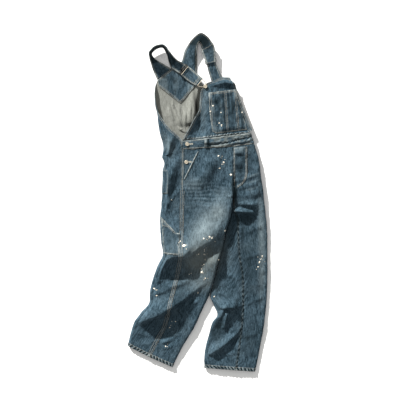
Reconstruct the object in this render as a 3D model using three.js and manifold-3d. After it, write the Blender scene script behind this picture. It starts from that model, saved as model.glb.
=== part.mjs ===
import * as THREE from "three";
import { mergeVertices } from "three/addons/utils/BufferGeometryUtils.js";
import Module from "manifold-3d";

// Denim dungarees laid flat on their back and turned a little, so the right side and the front show.
// Millimetres, +Z up, +Y toward the shoulder straps. The underside lies on z = 0.

const denim = 1.6;
const strapThick = 2.6;
const seamGap = 0.3;
const lowestTop = 9;
const lastHip = 4;
const loopRise = 5;
const cutterHeight = 120;
const buttonRadius = 8;
const buttonRim = 3.2;
const stemRadius = 2.6;
const shortStem = 0.6;
const hookStem = 5.4;
const hookWire = 1.3;
const sliderLong = 48;
const sliderWide = 17;
const sliderBar = 2.4;
const sliderThick = 2.2;

const blue = 0x4b6479;
const paleBlue = 0x667d8e;
const brass = 0xd9c9a8;
const steel = 0x8d8a80;

// Right leg (lies to the left), waist to hem. Each row is one section across the leg.
// left edge x y, outseam x y, right edge x y, top height at left, seam and right,
// edge rounding left and right, end of the back panel underneath x y
const rightLeg = [
  [-152, 194, -66, 224, 145.85, 235, 20, 28, 28, 10, 0, -30.15, 228],
  [-142, 169, -66, 182, 145.85, 182, 22, 29, 28, 13, 0, -6.15, 186],
  [-148, 140, -66, 131, 145.85, 131, 22, 29, 28, 13, 0, 24.85, 135],
  [-149, 98, -68, 89, 146.35, 85, 22, 29, 28, 14, 0, 59.85, 93],
  [-152, 43, -68, 39, 147.85, 39, 22, 29, 30, 14, 0, 104.85, 43],
  [-155, -11, -69, -16, 143, -16, 21, 29, 44, 14, 12, 131, -16],
  [-161, -53, -70, -70, 133, -66, 20, 29, 42, 14, 11, 122, -66],
  [-160, -108, -71, -125, 116, -118, 21, 30, 42, 14, 9, 107, -118],
  [-156, -163, -72, -180, 103, -180, 23, 32, 28, 14, 9, 94, -180],
  [-148, -215, -75, -226, 87, -236, 34, 37, 44, 14, 9, 78, -236],
  [-170, -262, -83, -272, 74, -289, 33, 16, 35, 14, 9, 65, -288],
  [-188, -314, -93, -318, 61, -341, 22, 15, 26, 14, 10, 51, -340],
  [-203, -368, -106, -368, 46, -387, 19, 19, 20, 14, 15, 31, -385],
  [-207, -419, -118, -415, 23, -436, 18, 19, 18, 14, 14, 9, -434],
  [-238, -457, -127, -463, -1, -488, 24, 16, 18, 14, 13, -14, -485],
  [-267, -497, -142, -514, -30, -545, 20, 12, 17, 14, 12, -41, -542],
  [-282, -537, -167, -562, -62, -595, 15, 12, 15, 12, 12, -73, -591],
  [-291, -573, -192, -609, -88, -647, 14, 13, 13, 11, 11, -98, -643],
  [-296, -600, -209, -645, -108, -689, 13, 13, 12, 10, 10, -117, -685],
];

// Left leg (lies to the right). Same columns; the middle point is the inseam below the crotch.
const leftLeg = [
  [146.15, 235, 190, 241, 236, 247, 28, 26, 22, 0, 13, -29.85, 228],
  [146.15, 182, 200, 187, 254, 188, 28, 26, 22, 0, 13, -5.85, 186],
  [146.15, 131, 202, 131, 261, 131, 28, 26, 22, 0, 13, 25.15, 135],
  [146.65, 85, 205, 85, 268, 85, 28, 26, 22, 0, 13, 60.15, 93],
  [148.15, 39, 210, 36, 274, 36, 30, 25, 21, 0, 13, 105.15, 43],
  [144, -16, 171, -25, 282, -27, 15, 20, 19, 8, 13, 152, -16],
  [134, -66, 168, -75, 286, -75, 14, 17, 17, 10, 13, 144, -69],
  [117, -118, 167, -125, 289, -125, 14, 17, 16, 10, 13, 127, -119],
  [104, -180, 170, -180, 291, -180, 14, 17, 15, 10, 13, 114, -180],
  [88, -236, 175, -236, 291, -236, 14, 18, 15, 10, 13, 98, -236],
  [75, -289, 185, -289, 290, -289, 14, 18, 15, 10, 12, 85, -289],
  [62, -341, 188, -341, 290, -341, 14, 18, 14, 10, 12, 72, -341],
  [50, -387, 188, -387, 289, -387, 15, 18, 14, 11, 12, 61, -387],
  [66, -430, 188, -430, 286, -430, 17, 18, 14, 11, 12, 77, -430],
  [80, -470, 186, -470, 282, -470, 28, 17, 14, 12, 12, 92, -470],
  [60, -500, 184, -508, 276, -508, 20, 16, 14, 12, 12, 72, -501],
  [45, -550, 178, -560, 268, -560, 14, 15, 13, 12, 11, 57, -551],
  [31, -605, 171, -612, 259, -612, 14, 14, 13, 11, 11, 42, -606],
  [26, -650, 164, -660, 249, -664, 13, 14, 12, 10, 10, 36, -651],
  [26, -692, 157, -702, 238, -708, 12, 13, 12, 10, 10, 36, -693],
];

// Waistband, upper edge to lower edge, from the side opening over the front and round the left hip.
const waistRows = [
  [-65.7, 262, 146, 286, 219, 297, 28, 28, 22, 0, 13, 0, 0],
  [-65.7, 243, 146, 260.5, 228, 272, 29, 29, 22, 0, 13, 0, 0],
  [-65.7, 224.4, 146, 235.4, 236, 247.4, 28, 28, 22, 0, 13, 0, 0],
];

// Largest folds of the legs and hips. Crest points x y rise, width toward the light, width away from it.
const folds = [
  // back of the hip
  [[[-94, 172, 10], [-112, 120, 18], [-132, 60, 18], [-150, -20, 9]], 26, 23],
  [[[-106, 282, 6], [-114, 256, 14], [-136, 208, 13]], 18, 15],
  // below the tool pocket and down the left of the knee
  [[[-172, -322, 4], [-158, -275, 14], [-132, -236, 20], [-104, -222, 20], [-62, -221, 16]], 46, 12],
  // end of the thigh and hollow of the knee
  [[[-60, -232, 13], [-3, -188, 28], [50, -158, 30], [88, -137, 5]], 74, 14],
  [[[-60, -290, -6], [0, -250, -10], [45, -220, -8]], 34, 30],
  // calf
  [[[-165, -374, 5], [-110, -347, 9], [-50, -324, 7]], 26, 16],
  [[[-262, -499, 14], [-225, -490, 27], [-171, -472, 36], [-113, -436, 34], [-54, -397, 20],
    [-20, -375, 6]], 48, 11],
  [[[-165, -592, 0], [-140, -583, 8], [-108, -572, 3]], 12, 8],
  // crotch and left hip
  [[[176, -3, 4], [200, -5, 12], [226, -7, 18], [240, -8, 8]], 14, 7],
  [[[150, -33, 20], [180, -36, 24], [208, -38, 18], [226, -38, 12]], 11, 8],
  [[[178, 20, 3], [258, 46, 6]], 16, 14],
  [[[78, 205, 2], [64, 168, 8], [38, 120, 10], [8, 75, 6], [-8, 50, 1]], 40, 22],
  [[[142, 215, 5], [143, 150, 7], [143, 90, 10], [145, 30, 8]], 18, 6],
  [[[192, -95, -4], [194, -150, -3], [192, -230, -1]], 16, 12],
  // lower left leg
  [[[72, -438, 8], [100, -438, 14], [126, -437, 23], [150, -436, 23], [168, -436, 6]], 26, 7],
  [[[114, -438, 8], [90, -474, 13], [68, -497, 12]], 9, 6],
  [[[122, -462, 8], [108, -520, 9]], 7, 6],
  [[[28, -637, 11], [58, -627, 15], [83, -612, 16], [118, -587, 15], [148, -560, 11],
    [168, -538, 4]], 18, 8],
  [[[240, -200, 4], [246, -330, 4]], 30, 30],
];

// Bib, waistband to top. Armhole edge x y z, hollow beside it x y z, pocket line x y z, left-hand edge x y z.
const bibRows = [
  [-64, 262.7, 28, 5, 270, 25, 50, 275.6, 27, 204, 295.8, 22],
  [-54, 286, 30, 8, 296, 14, 52, 300, 25, 225, 306, 20],
  [-37, 316, 29, 5, 325, 10, 53, 328, 23, 216, 332, 20],
  [-20, 350, 25, 2, 357, 11, 48, 358, 23, 205, 360, 19],
  [2, 388, 17, 9, 392, 17, 46, 395, 22, 190, 398, 19],
  [7, 434, 16, 14, 434, 17, 45, 430, 21, 176, 436, 18],
  [9, 464, 16, 17, 464, 17, 43, 463, 19, 163, 473, 18],
  [19, 487, 16, 30, 489, 16, 60, 494, 18, 154, 503, 18],
  [38, 506, 17, 58, 512, 17, 98, 529, 18, 141, 528, 18],
];
// Place of those four lines across the bib, and the columns of its sheet.
const bibStops = [0, 0.14, 0.32, 1];
const bibColumns = [0, 0.07, 0.14, 0.2, 0.26, 0.32, 0.45, 0.58, 0.72, 0.86, 1];
const bibCorner = 14;
const bibFolds = [
  [[[60, 290, -3], [200, 310, -3]], 10, 12],
  [[[72, 497, 4], [110, 505, 10], [146, 501, 11]], 18, 7],
];

// Upper back, waist seam to strap ends. Left edge x y, centre-back x y, right edge x y,
// rounding of the turned left edge, degrees it turns, length lying back over the top, its slant in degrees
const backRows = [
  [-152.1, 194.7, -30, 228.7, 159, 242.7, 10, 180, 78, 19.2],
  [-147, 228, -40, 262, 147, 285, 10, 180, 70.5, 12.5],
  [-151, 257, -46, 290, 151, 315, 10, 180, 73.5, 4.7],
  [-160, 290, -52, 308, 150, 335, 10, 180, 54, 3.5],
  [-165, 316, -57, 330, 138, 362, 10, 180, 33, 0],
  [-170, 352, -63, 365, 110, 400, 9, 180, 12, 0],
  [-174, 381, -68, 395, 84, 432, 9, 160, 1, 0],
  [-181, 412, -74, 421, 60, 460, 10, 140, 1, 0],
  [-184, 445, -80, 455, 38, 482, 10, 125, 1, 0],
  [-183, 480, -89, 495, 18, 500, 9, 110, 1, 0],
  [-178, 508, -98, 540, 4, 513, 6, 20, 1, 20],
  [-174, 521, -108, 574, -8, 526, 6, 8, 1, 38.8],
];

// Straps, back to front. Upper edge x y z, lower edge x y z.
const rightStrapRows = [
  [-173.4, 522.2, 1.4, -116.5, 568.2, 1.4],
  [-190, 560, 6, -143, 584, 1.4],
  [-202, 603, 34, -180, 606, 3],
  [-205, 627, 46, -194, 625, 6],
  [-197, 641, 48, -191, 635, 8],
  [-178, 656, 48, -175, 648, 9],
  [-152, 662, 48, -153, 654, 9],
  [-135, 653, 48, -142, 645, 9],
  [-122, 634, 48, -130, 620, 9],
  [-106, 616, 42, -125, 598, 9],
  [-86, 599, 26, -114, 570, 9],
  [-64, 589, 12, -96, 558, 9],
  [-31, 567, 11, -62, 531, 9],
  [-7, 546, 13, -38, 510, 11],
  [19, 523, 17, -8, 493, 14],
];
const leftStrapRows = [
  [-98, 571, 1.6, -9, 527.8, 1.6],
  [-70, 597, 1.6, -6, 570, 2.2],
  [-57, 641, 2, -5, 619, 10],
  [-38, 673, 4, -4, 650, 16],
  [-14, 700, 9, 0, 668, 19],
  [12, 714, 20, 4.5, 674, 17],
  [39, 698, 24, 10, 668, 12],
  [59, 671, 21, 17, 646, 10],
  [68, 644, 15, 21, 629, 12],
  [72, 593, 12.5, 36, 583, 12],
  [83, 567, 11, 43, 555, 11],
  [98, 530, 9, 55, 515, 8],
  [104, 510, 8, 61, 495, 8],
];
// Rows of the left strap that its turned end covers, and how much wider the end is.
const turnedRows = [7, 9];
const turnedWider = 1.1;

// Outlines seen from above, corner points in order.
const bibPocketOutline = [[43.5, 464], [158, 477.5], [207, 308], [75, 291], [56, 316], [47, 384]];
const facingOutline = [[-172, 519.5], [-111.5, 570], [-14, 517], [-12, 492], [-75, 419], [-166, 491]];
const weltOutline = [[-4, 216], [2, 216.5], [-55.5, 99], [-61.5, 99]];
const flyOutline = [[149, 232], [205, 238], [206, 125], [198, 96], [181, 75], [164, 64], [149, 61]];
const beltLoop = [27, 43, 231, 270];
const toolPocketOutline = [[-180, -31], [-92, -124], [-74, -125], [-78, -219], [-180, -211]];
const backPocketOutline = [[-170, 152], [-136, 154], [-137, 42], [-170, 40]];

// Fastenings: place seen from above, and a slider's turn in degrees.
const sideButtonUpper = [-46, 247];
const sideButtonLower = [-50, 172];
const bibButton = [30, 490];
const rightSliderAt = [-62, 562, -39];
const leftSliderAt = [51.8, 596, -73];

const wasm = await Module();
wasm.setup();
const { Manifold } = wasm;

const mix = (a, b, t) => a + (b - a) * t;
const clamp = (v, low, high) => Math.min(high, Math.max(low, v));
const minus = (a, b) => [a[0] - b[0], a[1] - b[1], a[2] - b[2]];
const plus = (a, b, k) => [a[0] + b[0] * k, a[1] + b[1] * k, a[2] + b[2] * k];
const cross = (a, b) => [a[1] * b[2] - a[2] * b[1], a[2] * b[0] - a[0] * b[2], a[0] * b[1] - a[1] * b[0]];

function soft(value) {
  const t = clamp(value, 0, 1);
  return t * t * (3 - 2 * t);
}

function unit(a) {
  const size = Math.hypot(a[0], a[1], a[2]) || 1;
  return [a[0] / size, a[1] / size, a[2] / size];
}

// Row of a table at a place between its rows, on a smooth curve through them.
function rowAt(table, at) {
  const last = table.length - 1;
  const i = clamp(Math.floor(at), 0, last - 1);
  const f = at - i;
  const rows = [i - 1, i, i + 1, i + 2].map((k) => table[clamp(k, 0, last)]);
  return rows[1].map((value, k) => {
    const [a, b, c, d] = rows.map((row) => row[k]);
    const bend = (2 * a - 5 * b + 4 * c - d) * f * f + (3 * b - a - 3 * c + d) * f ** 3;
    return 0.5 * (2 * b + (c - a) * f + bend);
  });
}

// Places of the sections of a sheet: each row of its table, and from one row on also half-way between them.
function sections(table, from) {
  const last = table.length - 1;
  return Array.from({ length: 2 * last + 1 }, (_, k) => k / 2).filter((at) => at % 1 === 0 || at > from);
}

// Height added by a table of folds at one point.
function foldRise(table, x, y) {
  let total = 0;
  for (const [crest, toLight, away] of table) {
    let nearest = Infinity;
    let rise = 0;
    for (let k = 0; k + 1 < crest.length; k += 1) {
      const [x0, y0, rise0] = crest[k];
      const [x1, y1, rise1] = crest[k + 1];
      const run = Math.hypot(x1 - x0, y1 - y0);
      const along = clamp(((x - x0) * (x1 - x0) + (y - y0) * (y1 - y0)) / run, 0, run);
      const dx = x - mix(x0, x1, along / run);
      const dy = y - mix(y0, y1, along / run);
      const off = Math.hypot(dx, dy);
      if (off < nearest) {
        const lit = soft(0.5 + (0.85 * dy - 0.53 * dx) / (off + 1e-6));
        nearest = off;
        rise = mix(rise0, rise1, along / run) * Math.exp(-((off / mix(away, toLight, lit)) ** 2));
      }
    }
    total += rise;
  }
  return total;
}

// Point on the flattened tube of a leg. Turn 0 to 1 crosses the top from left to right, 1 to 2 goes
// round the right edge, 2 to 3 returns underneath, 3 to 4 goes round the left edge.
function tubePoint(tube, at, turn) {
  const row = rowAt(tube.rows, at);
  const [lx, ly, mx, my, rx, ry, leftH, seamH, rightH] = row;
  const [leftR, rightR] = [Math.max(0, row[9]), Math.max(0, row[10])];
  const toLeft = Math.hypot(mx - lx, my - ly);
  const toRight = Math.hypot(rx - mx, ry - my);
  const [leftX, leftY] = [(mx - lx) / toLeft, (my - ly) / toLeft];
  const [rightX, rightY] = [(rx - mx) / toRight, (ry - my) / toRight];
  const l = [lx + leftX * leftR, ly + leftY * leftR];
  const r = [rx - rightX * rightR, ry - rightY * rightR];
  const q = ((turn % 4) + 4) % 4;
  if (q <= 1) {
    const half = q < 0.5;
    const t = half ? q / 0.5 : (q - 0.5) / 0.5;
    const x = half ? mix(l[0], mx, t) : mix(mx, r[0], t);
    const y = half ? mix(l[1], my, t) : mix(my, r[1], t);
    const flat = half ? mix(leftH, seamH, soft(t)) : mix(seamH, rightH, soft(t));
    if (!tube.folded) return [x, y, flat];
    const hip = soft(5.2 - at);
    const calmLeft = soft(q / 0.08 + (tube.backAt === "left" ? hip : 0));
    const calmRight = soft((1 - q) / 0.08 + (tube.backAt === "right" ? hip : 0));
    const ends = soft(at / 1.2) * soft((tube.rows.length - 1 - at) / 1.2);
    return [x, y, Math.max(lowestTop, flat + foldRise(folds, x, y) * calmLeft * calmRight * ends)];
  }
  if (q < 2) {
    const a = Math.PI * (1.5 - q);
    const out = rightR * Math.cos(a);
    return [r[0] + rightX * out, r[1] + rightY * out, (rightH / 2) * (1 + Math.sin(a))];
  }
  if (q <= 3) {
    const from = tube.backAt === "right" ? row.slice(11) : r;
    const to = tube.backAt === "left" ? row.slice(11) : l;
    return [mix(from[0], to[0], q - 2), mix(from[1], to[1], q - 2), 0];
  }
  const a = Math.PI * (q - 3.5);
  const out = leftR * Math.cos(a);
  return [l[0] - leftX * out, l[1] - leftY * out, (leftH / 2) * (1 + Math.sin(a))];
}

// Outward direction of the tube, held at open edges so they stay square.
function tubeNormal(tube, at, turn, low, high) {
  const last = tube.rows.length - 1;
  const a = tubePoint(tube, at, Math.max(low, turn - 0.03));
  const b = tubePoint(tube, at, Math.min(high, turn + 0.03));
  const c = tubePoint(tube, Math.max(0, at - 0.5), turn);
  const d = tubePoint(tube, Math.min(last, at + 0.5), turn);
  return unit(cross(minus(c, d), minus(a, b)));
}

// Grid of points and outward directions of one cut panel. Stops names the turns at the panel's
// edges and corners for a section, counts the columns between them. The column at the centre-front
// seam is cut upright.
function tubePanel(tube, stops, counts, seamColumn = null) {
  return sections(tube.rows, lastHip).map((at) => {
    const marks = stops(at);
    const ends = [Math.min(...marks), Math.max(...marks)];
    const [low, high] = ends.map((end, k) => (Number.isInteger(end) ? end : end + (k ? 1 : -1)));
    const line = [];
    counts.forEach((count, k) => {
      for (let j = k === 0 ? 0 : 1; j <= count; j += 1) {
        const turn = mix(marks[k], marks[k + 1], j / count);
        line.push({ p: tubePoint(tube, at, turn), n: tubeNormal(tube, at, turn, low, high) });
      }
    });
    if (seamColumn !== null && at <= lastHip) {
      const seam = line.at(seamColumn);
      seam.n = unit([0, seam.n[1], seam.n[2]]);
    }
    return line;
  });
}

// Closed wall between two offsets of a grid.
function wall(grid, outer, inner) {
  const rows = grid.length;
  const cols = grid[0].length;
  const points = [];
  const faces = [];
  for (const offset of [outer, inner]) {
    for (const line of grid) {
      for (const { p, n } of line) points.push(plus(p, n, offset));
    }
  }
  const id = (side, i, j) => side * rows * cols + i * cols + j;
  const quad = (a, b, c, d) => faces.push([a, b, c], [a, c, d]);
  for (let i = 0; i < rows - 1; i += 1) {
    for (let j = 0; j < cols - 1; j += 1) {
      quad(id(0, i, j), id(0, i + 1, j), id(0, i + 1, j + 1), id(0, i, j + 1));
      quad(id(1, i, j), id(1, i, j + 1), id(1, i + 1, j + 1), id(1, i + 1, j));
    }
  }
  for (let i = 0; i < rows - 1; i += 1) {
    quad(id(0, i, 0), id(1, i, 0), id(1, i + 1, 0), id(0, i + 1, 0));
    quad(id(0, i, cols - 1), id(0, i + 1, cols - 1), id(1, i + 1, cols - 1), id(1, i, cols - 1));
  }
  for (let j = 0; j < cols - 1; j += 1) {
    quad(id(0, 0, j), id(0, 0, j + 1), id(1, 0, j + 1), id(1, 0, j));
    quad(id(0, rows - 1, j), id(1, rows - 1, j), id(1, rows - 1, j + 1), id(0, rows - 1, j + 1));
  }
  return { points, faces };
}

// Turns a body right side out.
function outward(body) {
  let volume = 0;
  for (const [a, b, c] of body.faces) {
    const [p, q, r] = [body.points[a], body.points[b], body.points[c]];
    volume += p[0] * (q[1] * r[2] - q[2] * r[1]) + p[1] * (q[2] * r[0] - q[0] * r[2]);
    volume += p[2] * (q[0] * r[1] - q[1] * r[0]);
  }
  if (volume < 0) body.faces = body.faces.map(([a, b, c]) => [a, c, b]);
  return body;
}

// Points and triangles of a closed geometry, its doubled points joined.
function bodyOfGeometry(geometry) {
  const bare = new THREE.BufferGeometry();
  bare.setAttribute("position", geometry.getAttribute("position"));
  bare.setIndex(geometry.index);
  const joined = mergeVertices(bare, 1e-3);
  const spot = joined.getAttribute("position");
  const points = Array.from({ length: spot.count }, (_, k) => [spot.getX(k), spot.getY(k), spot.getZ(k)]);
  const corners = Array.from(joined.index.array);
  const faces = [];
  for (let k = 0; k < corners.length; k += 3) {
    const [a, b, c] = corners.slice(k, k + 3);
    if (a !== b && b !== c && c !== a) faces.push([a, b, c]);
  }
  return { points, faces };
}

function solidOf(body) {
  const mesh = new wasm.Mesh({
    numProp: 3,
    vertProperties: new Float32Array(body.points.flat()),
    triVerts: new Uint32Array(body.faces.flat()),
  });
  mesh.merge();
  return new Manifold(mesh);
}

function bodyOfSolid(solid) {
  const mesh = solid.getMesh();
  const points = [];
  const faces = [];
  for (let k = 0; k < mesh.numVert; k += 1) {
    points.push(Array.from(mesh.vertProperties.slice(k * mesh.numProp, k * mesh.numProp + 3)));
  }
  for (let k = 0; k < mesh.numTri; k += 1) faces.push(Array.from(mesh.triVerts.slice(k * 3, k * 3 + 3)));
  return { points, faces };
}

// Upright block over an outline.
function block(outline, low, depth) {
  const shape = new THREE.Shape(outline.map(([x, y]) => new THREE.Vector2(x, y)));
  const geometry = new THREE.ExtrudeGeometry(shape, { depth, bevelEnabled: false });
  return outward(bodyOfGeometry(geometry.translate(0, 0, low)));
}

// Piece sewn on a panel: the panel's own points moved out, cut to an outline seen from above.
function sewnOn(grid, outline, low) {
  const shell = solidOf(outward(wall(grid, seamGap + denim, seamGap)));
  return bodyOfSolid(shell.intersect(solidOf(block(outline, low, cutterHeight))));
}

// Highest point of a body within a small disc seen from above.
function topOf(body, x, y, reach) {
  let top = 0;
  for (let k = 0; k < 13; k += 1) {
    const px = x + (k ? reach * Math.cos(k) : 0);
    const py = y + (k ? reach * Math.sin(k) : 0);
    for (const [a, b, c] of body.faces) {
      const [p, q, r] = [body.points[a], body.points[b], body.points[c]];
      const area = (q[0] - p[0]) * (r[1] - p[1]) - (r[0] - p[0]) * (q[1] - p[1]);
      if (Math.abs(area) < 1e-6) continue;
      const u = ((px - p[0]) * (r[1] - p[1]) - (r[0] - p[0]) * (py - p[1])) / area;
      const v = ((q[0] - p[0]) * (py - p[1]) - (px - p[0]) * (q[1] - p[1])) / area;
      if (u >= 0 && v >= 0 && u + v <= 1) top = Math.max(top, p[2] + u * (q[2] - p[2]) + v * (r[2] - p[2]));
    }
  }
  return top;
}

const dungarees = new THREE.Group();
dungarees.name = "dungarees";

function add(name, body, finish) {
  const geometry = new THREE.BufferGeometry();
  geometry.setAttribute("position", new THREE.Float32BufferAttribute(body.points.flat(), 3));
  geometry.setIndex(body.faces.flat());
  geometry.computeVertexNormals();
  const mesh = new THREE.Mesh(geometry, new THREE.MeshStandardMaterial(finish));
  mesh.name = name;
  dungarees.add(mesh);
  return mesh;
}

function addCloth(name, body, color = blue) {
  add(name, outward(body), { color, roughness: 0.92, metalness: 0 });
  return body;
}

const addMetal = (name, body, color) => add(name, outward(body), { color, roughness: 0.4, metalness: 0.9 });

// Legs. The first rows are the hips, the next the crotch; a panel's edges move between them.
const rightTube = { rows: rightLeg, backAt: "right", folded: true };
const leftTube = { rows: leftLeg, backAt: "left", folded: true };
const waistTube = { rows: waistRows, backAt: null, folded: false };

function edges(at, hip, fork, leg) {
  const first = soft(at - lastHip);
  const second = soft(at - lastHip - 1);
  return hip.map((turn, k) => mix(mix(turn, fork[k], first), leg[k], second));
}

// Half the gap of a seam on top, as a share of the turn.
function nick(tube, at, side) {
  const [lx, ly, mx, my, rx, ry] = rowAt(tube.rows, at);
  const run = side < 0 ? Math.hypot(mx - lx, my - ly) : Math.hypot(rx - mx, ry - my);
  return 0.5 + (side * 0.25 * seamGap) / run;
}

const frontRight = tubePanel(
  rightTube,
  (at) => {
    const seam = nick(rightTube, at, 1);
    return edges(at, [seam, 0.8, 1], [seam, 0.92, 1.49], [seam, 1, 2.297]);
  },
  [6, 5],
  -1,
);
const backRight = tubePanel(
  rightTube,
  (at) => {
    const seam = nick(rightTube, at, -1);
    return edges(at, [seam, 0, -1, -1.9, -2], [seam, 0, -1, -1.98, -2.49], [seam, 0, -1, -1.4, -1.697]);
  },
  [3, 4, 1, 1],
);
const frontLeft = tubePanel(
  leftTube,
  (at) => edges(at, [0, 1, 2, 2.247], [0.01, 1, 2, 2.397], [nick(leftTube, at, 1), 1, 2, 2.497]),
  [5, 4, 1],
  0,
);
const backLeft = tubePanel(
  leftTube,
  (at) => {
    const seam = 4 + nick(leftTube, at, -1);
    return edges(at, [2.253, 2.5, 2.75, 3], [2.403, 2.8, 3.4, 3.99], [2.503, 3, 4, seam]);
  },
  [1, 4, 3],
);

const frontRightBody = addCloth("front_right", wall(frontRight, 0, -denim));
addCloth("front_left", wall(frontLeft, 0, -denim));
addCloth("back_right", wall(backRight, 0, -denim));
addCloth("back_left", wall(backLeft, 0, -denim));

const waistGrid = tubePanel(waistTube, () => [0, 0.5, 1, 2, 2.2], [6, 4, 4, 1]);
const waistBody = addCloth("waistband", wall(waistGrid, 0, -denim));

// Bib, a sheet from the waistband to the top edge, its top corner rounded off.
function bibPoint(at, across) {
  const row = rowAt(bibRows, at);
  const k = clamp(bibStops.findLastIndex((stop) => across >= stop), 0, 2);
  const t = (across - bibStops[k]) / (bibStops[k + 1] - bibStops[k]);
  const [from, to] = [row.slice(3 * k, 3 * k + 3), row.slice(3 * k + 3, 3 * k + 6)];
  const x = mix(from[0], to[0], t);
  const round = bibCorner * soft((at - 6.6) / 1.4) * soft((across - 0.8) / 0.2) ** 2;
  const y = mix(from[1], to[1], t) - round;
  return [x, y, mix(from[2], to[2], soft(t)) + foldRise(bibFolds, x, y) * soft(at / 0.8)];
}

const bibGrid = sections(bibRows, 0).map((at) => bibColumns.map((across) => {
  const a = bibPoint(at, Math.max(0, across - 0.04));
  const b = bibPoint(at, Math.min(1, across + 0.04));
  const c = bibPoint(Math.max(0, at - 0.5), across);
  const d = bibPoint(Math.min(bibRows.length - 1, at + 0.5), across);
  return { p: bibPoint(at, across), n: unit(cross(minus(b, a), minus(d, c))) };
}));
const bibBody = addCloth("bib", wall(bibGrid, 0, -denim));
addCloth("bib_pocket", sewnOn(bibGrid, bibPocketOutline, 0));

// Upper back: lies on the surface, its left edge turned up and, lower down, folded over the top.
function backPoint(row, way, reach) {
  const [lx, ly, cx, cy, rx, ry, round, degrees, lying, slant] = row;
  if (way === "left") return { p: [mix(cx + 0.15, rx, reach), mix(cy, ry, reach), 0], n: [0, 0, -1] };
  const dx = Math.cos((slant * Math.PI) / 180);
  const dy = Math.sin((slant * Math.PI) / 180);
  const foot = [lx + dx * round, ly + dy * round];
  if (way === "flat") {
    return { p: [mix(cx - 0.15, foot[0], reach), mix(cy, foot[1], reach), 0], n: [0, 0, -1] };
  }
  const arc = ((degrees * Math.PI) / 180) * round;
  const s = (arc + lying) * reach;
  const a = Math.min(s, arc) / round;
  const over = Math.max(0, s - arc);
  const out = round * Math.sin(a) + over * Math.cos(a);
  const [x, y] = [foot[0] - dx * out, foot[1] - dy * out];
  const rise = foldRise(folds, x, y) * soft((over - 4) / 16) * soft((arc + lying - s) / 20);
  const z = round * (1 - Math.cos(a)) + over * Math.sin(a) + over * 0.1 + rise;
  return { p: [x, y, z], n: [-dx * Math.sin(a), -dy * Math.sin(a), -Math.cos(a)] };
}

const backSections = sections(backRows, 0).map((at) => rowAt(backRows, at));
const even = (count) => Array.from({ length: count + 1 }, (_, k) => k / count);
const upperRight = backSections.map((row) => [
  ...even(2).map((reach) => backPoint(row, "flat", reach)),
  ...even(6).slice(1).map((reach) => backPoint(row, "turned", reach)),
]);
const upperLeft = backSections.map((row) => even(1).map((reach) => backPoint(row, "left", reach)));
addCloth("upper_back_right", wall(upperRight, 0, -denim));
addCloth("upper_back_left", wall(upperLeft, 0, -denim));
addCloth("back_facing", block(facingOutline, denim + seamGap, denim));

// Pieces sewn on the panels.
addCloth("pocket_welt", sewnOn(frontRight, weltOutline, 10), paleBlue);
addCloth("fly", sewnOn(frontLeft, flyOutline, 10));
addCloth("tool_pocket", sewnOn(backRight, toolPocketOutline, 6));
addCloth("back_pocket", sewnOn(backRight, backPocketOutline, 4));

// Belt loop: a short band sewn down at both ends and standing off the waistband between them.
const loopGrid = even(8).map((t) => even(1).map((side) => {
  const x = mix(beltLoop[0], beltLoop[1], side);
  const y = mix(beltLoop[2], beltLoop[3], t);
  const low = topOf(waistBody, x, clamp(y, beltLoop[2] + 6, beltLoop[3] - 4), 2) + seamGap;
  return { p: [x, y, low + loopRise * Math.sin(Math.PI * t)], n: [0, 0, 1] };
}));
addCloth("belt_loop", wall(loopGrid, denim, 0), paleBlue);

// Straps: bands with an upper and a lower edge.
function strapGrid(rows, first, last, wider) {
  const middle = (row) => [0, 1, 2].map((k) => (row[k] + row[k + 3]) / 2);
  return sections(rows, 0).filter((at) => at >= first && at <= last).map((at) => {
    const row = rowAt(rows, at);
    const centre = middle(row);
    const across = minus(row.slice(3), row.slice(0, 3));
    const back = middle(rowAt(rows, Math.max(0, at - 0.5)));
    const ahead = middle(rowAt(rows, Math.min(rows.length - 1, at + 0.5)));
    const n = unit(cross(across, minus(ahead, back)));
    return even(2).map((t) => ({ p: plus(centre, across, (t - 0.5) * wider), n }));
  });
}
const rightStrap = strapGrid(rightStrapRows, 0, rightStrapRows.length - 1, 1);
const leftStrap = strapGrid(leftStrapRows, 0, leftStrapRows.length - 1, 1);
const rightStrapBody = addCloth("strap_right", wall(rightStrap, strapThick / 2, -strapThick / 2));
const leftStrapBody = addCloth("strap_left", wall(leftStrap, strapThick / 2, -strapThick / 2));

// The left strap's end comes back over the slider and lies on the strap.
const turnedEnd = strapGrid(leftStrapRows, turnedRows[0], turnedRows[1], turnedWider);
const turnedLow = strapThick / 2 + sliderThick + seamGap * 5;
addCloth("strap_left_end", wall(turnedEnd, turnedLow + denim, turnedLow));

// Sliders: a frame with a middle bar, lying on the strap.
function slider(name, place, under) {
  const [x, y, tilt] = place;
  const [halfWide, halfLong, halfBar] = [sliderWide / 2, sliderLong / 2, sliderBar / 2];
  const halfGap = (halfWide - sliderBar - halfBar) / 2;
  let frame = solidOf(outward(bodyOfGeometry(new THREE.BoxGeometry(sliderWide, sliderLong, sliderThick))));
  for (const side of [-1, 1]) {
    const hole = new THREE.BoxGeometry(2 * halfGap, sliderLong - 2 * sliderBar, 2 * sliderThick);
    hole.translate(side * (halfBar + halfGap), 0, 0);
    frame = frame.subtract(solidOf(outward(bodyOfGeometry(hole))));
  }
  const mesh = addMetal(name, bodyOfSolid(frame), steel);
  mesh.position.set(x, y, topOf(under, x, y, halfLong - 6) + seamGap + sliderThick / 2);
  mesh.rotation.z = THREE.MathUtils.degToRad(tilt);
}
slider("slider_right", rightSliderAt, rightStrapBody);
slider("slider_left", leftSliderAt, leftStrapBody);

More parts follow.
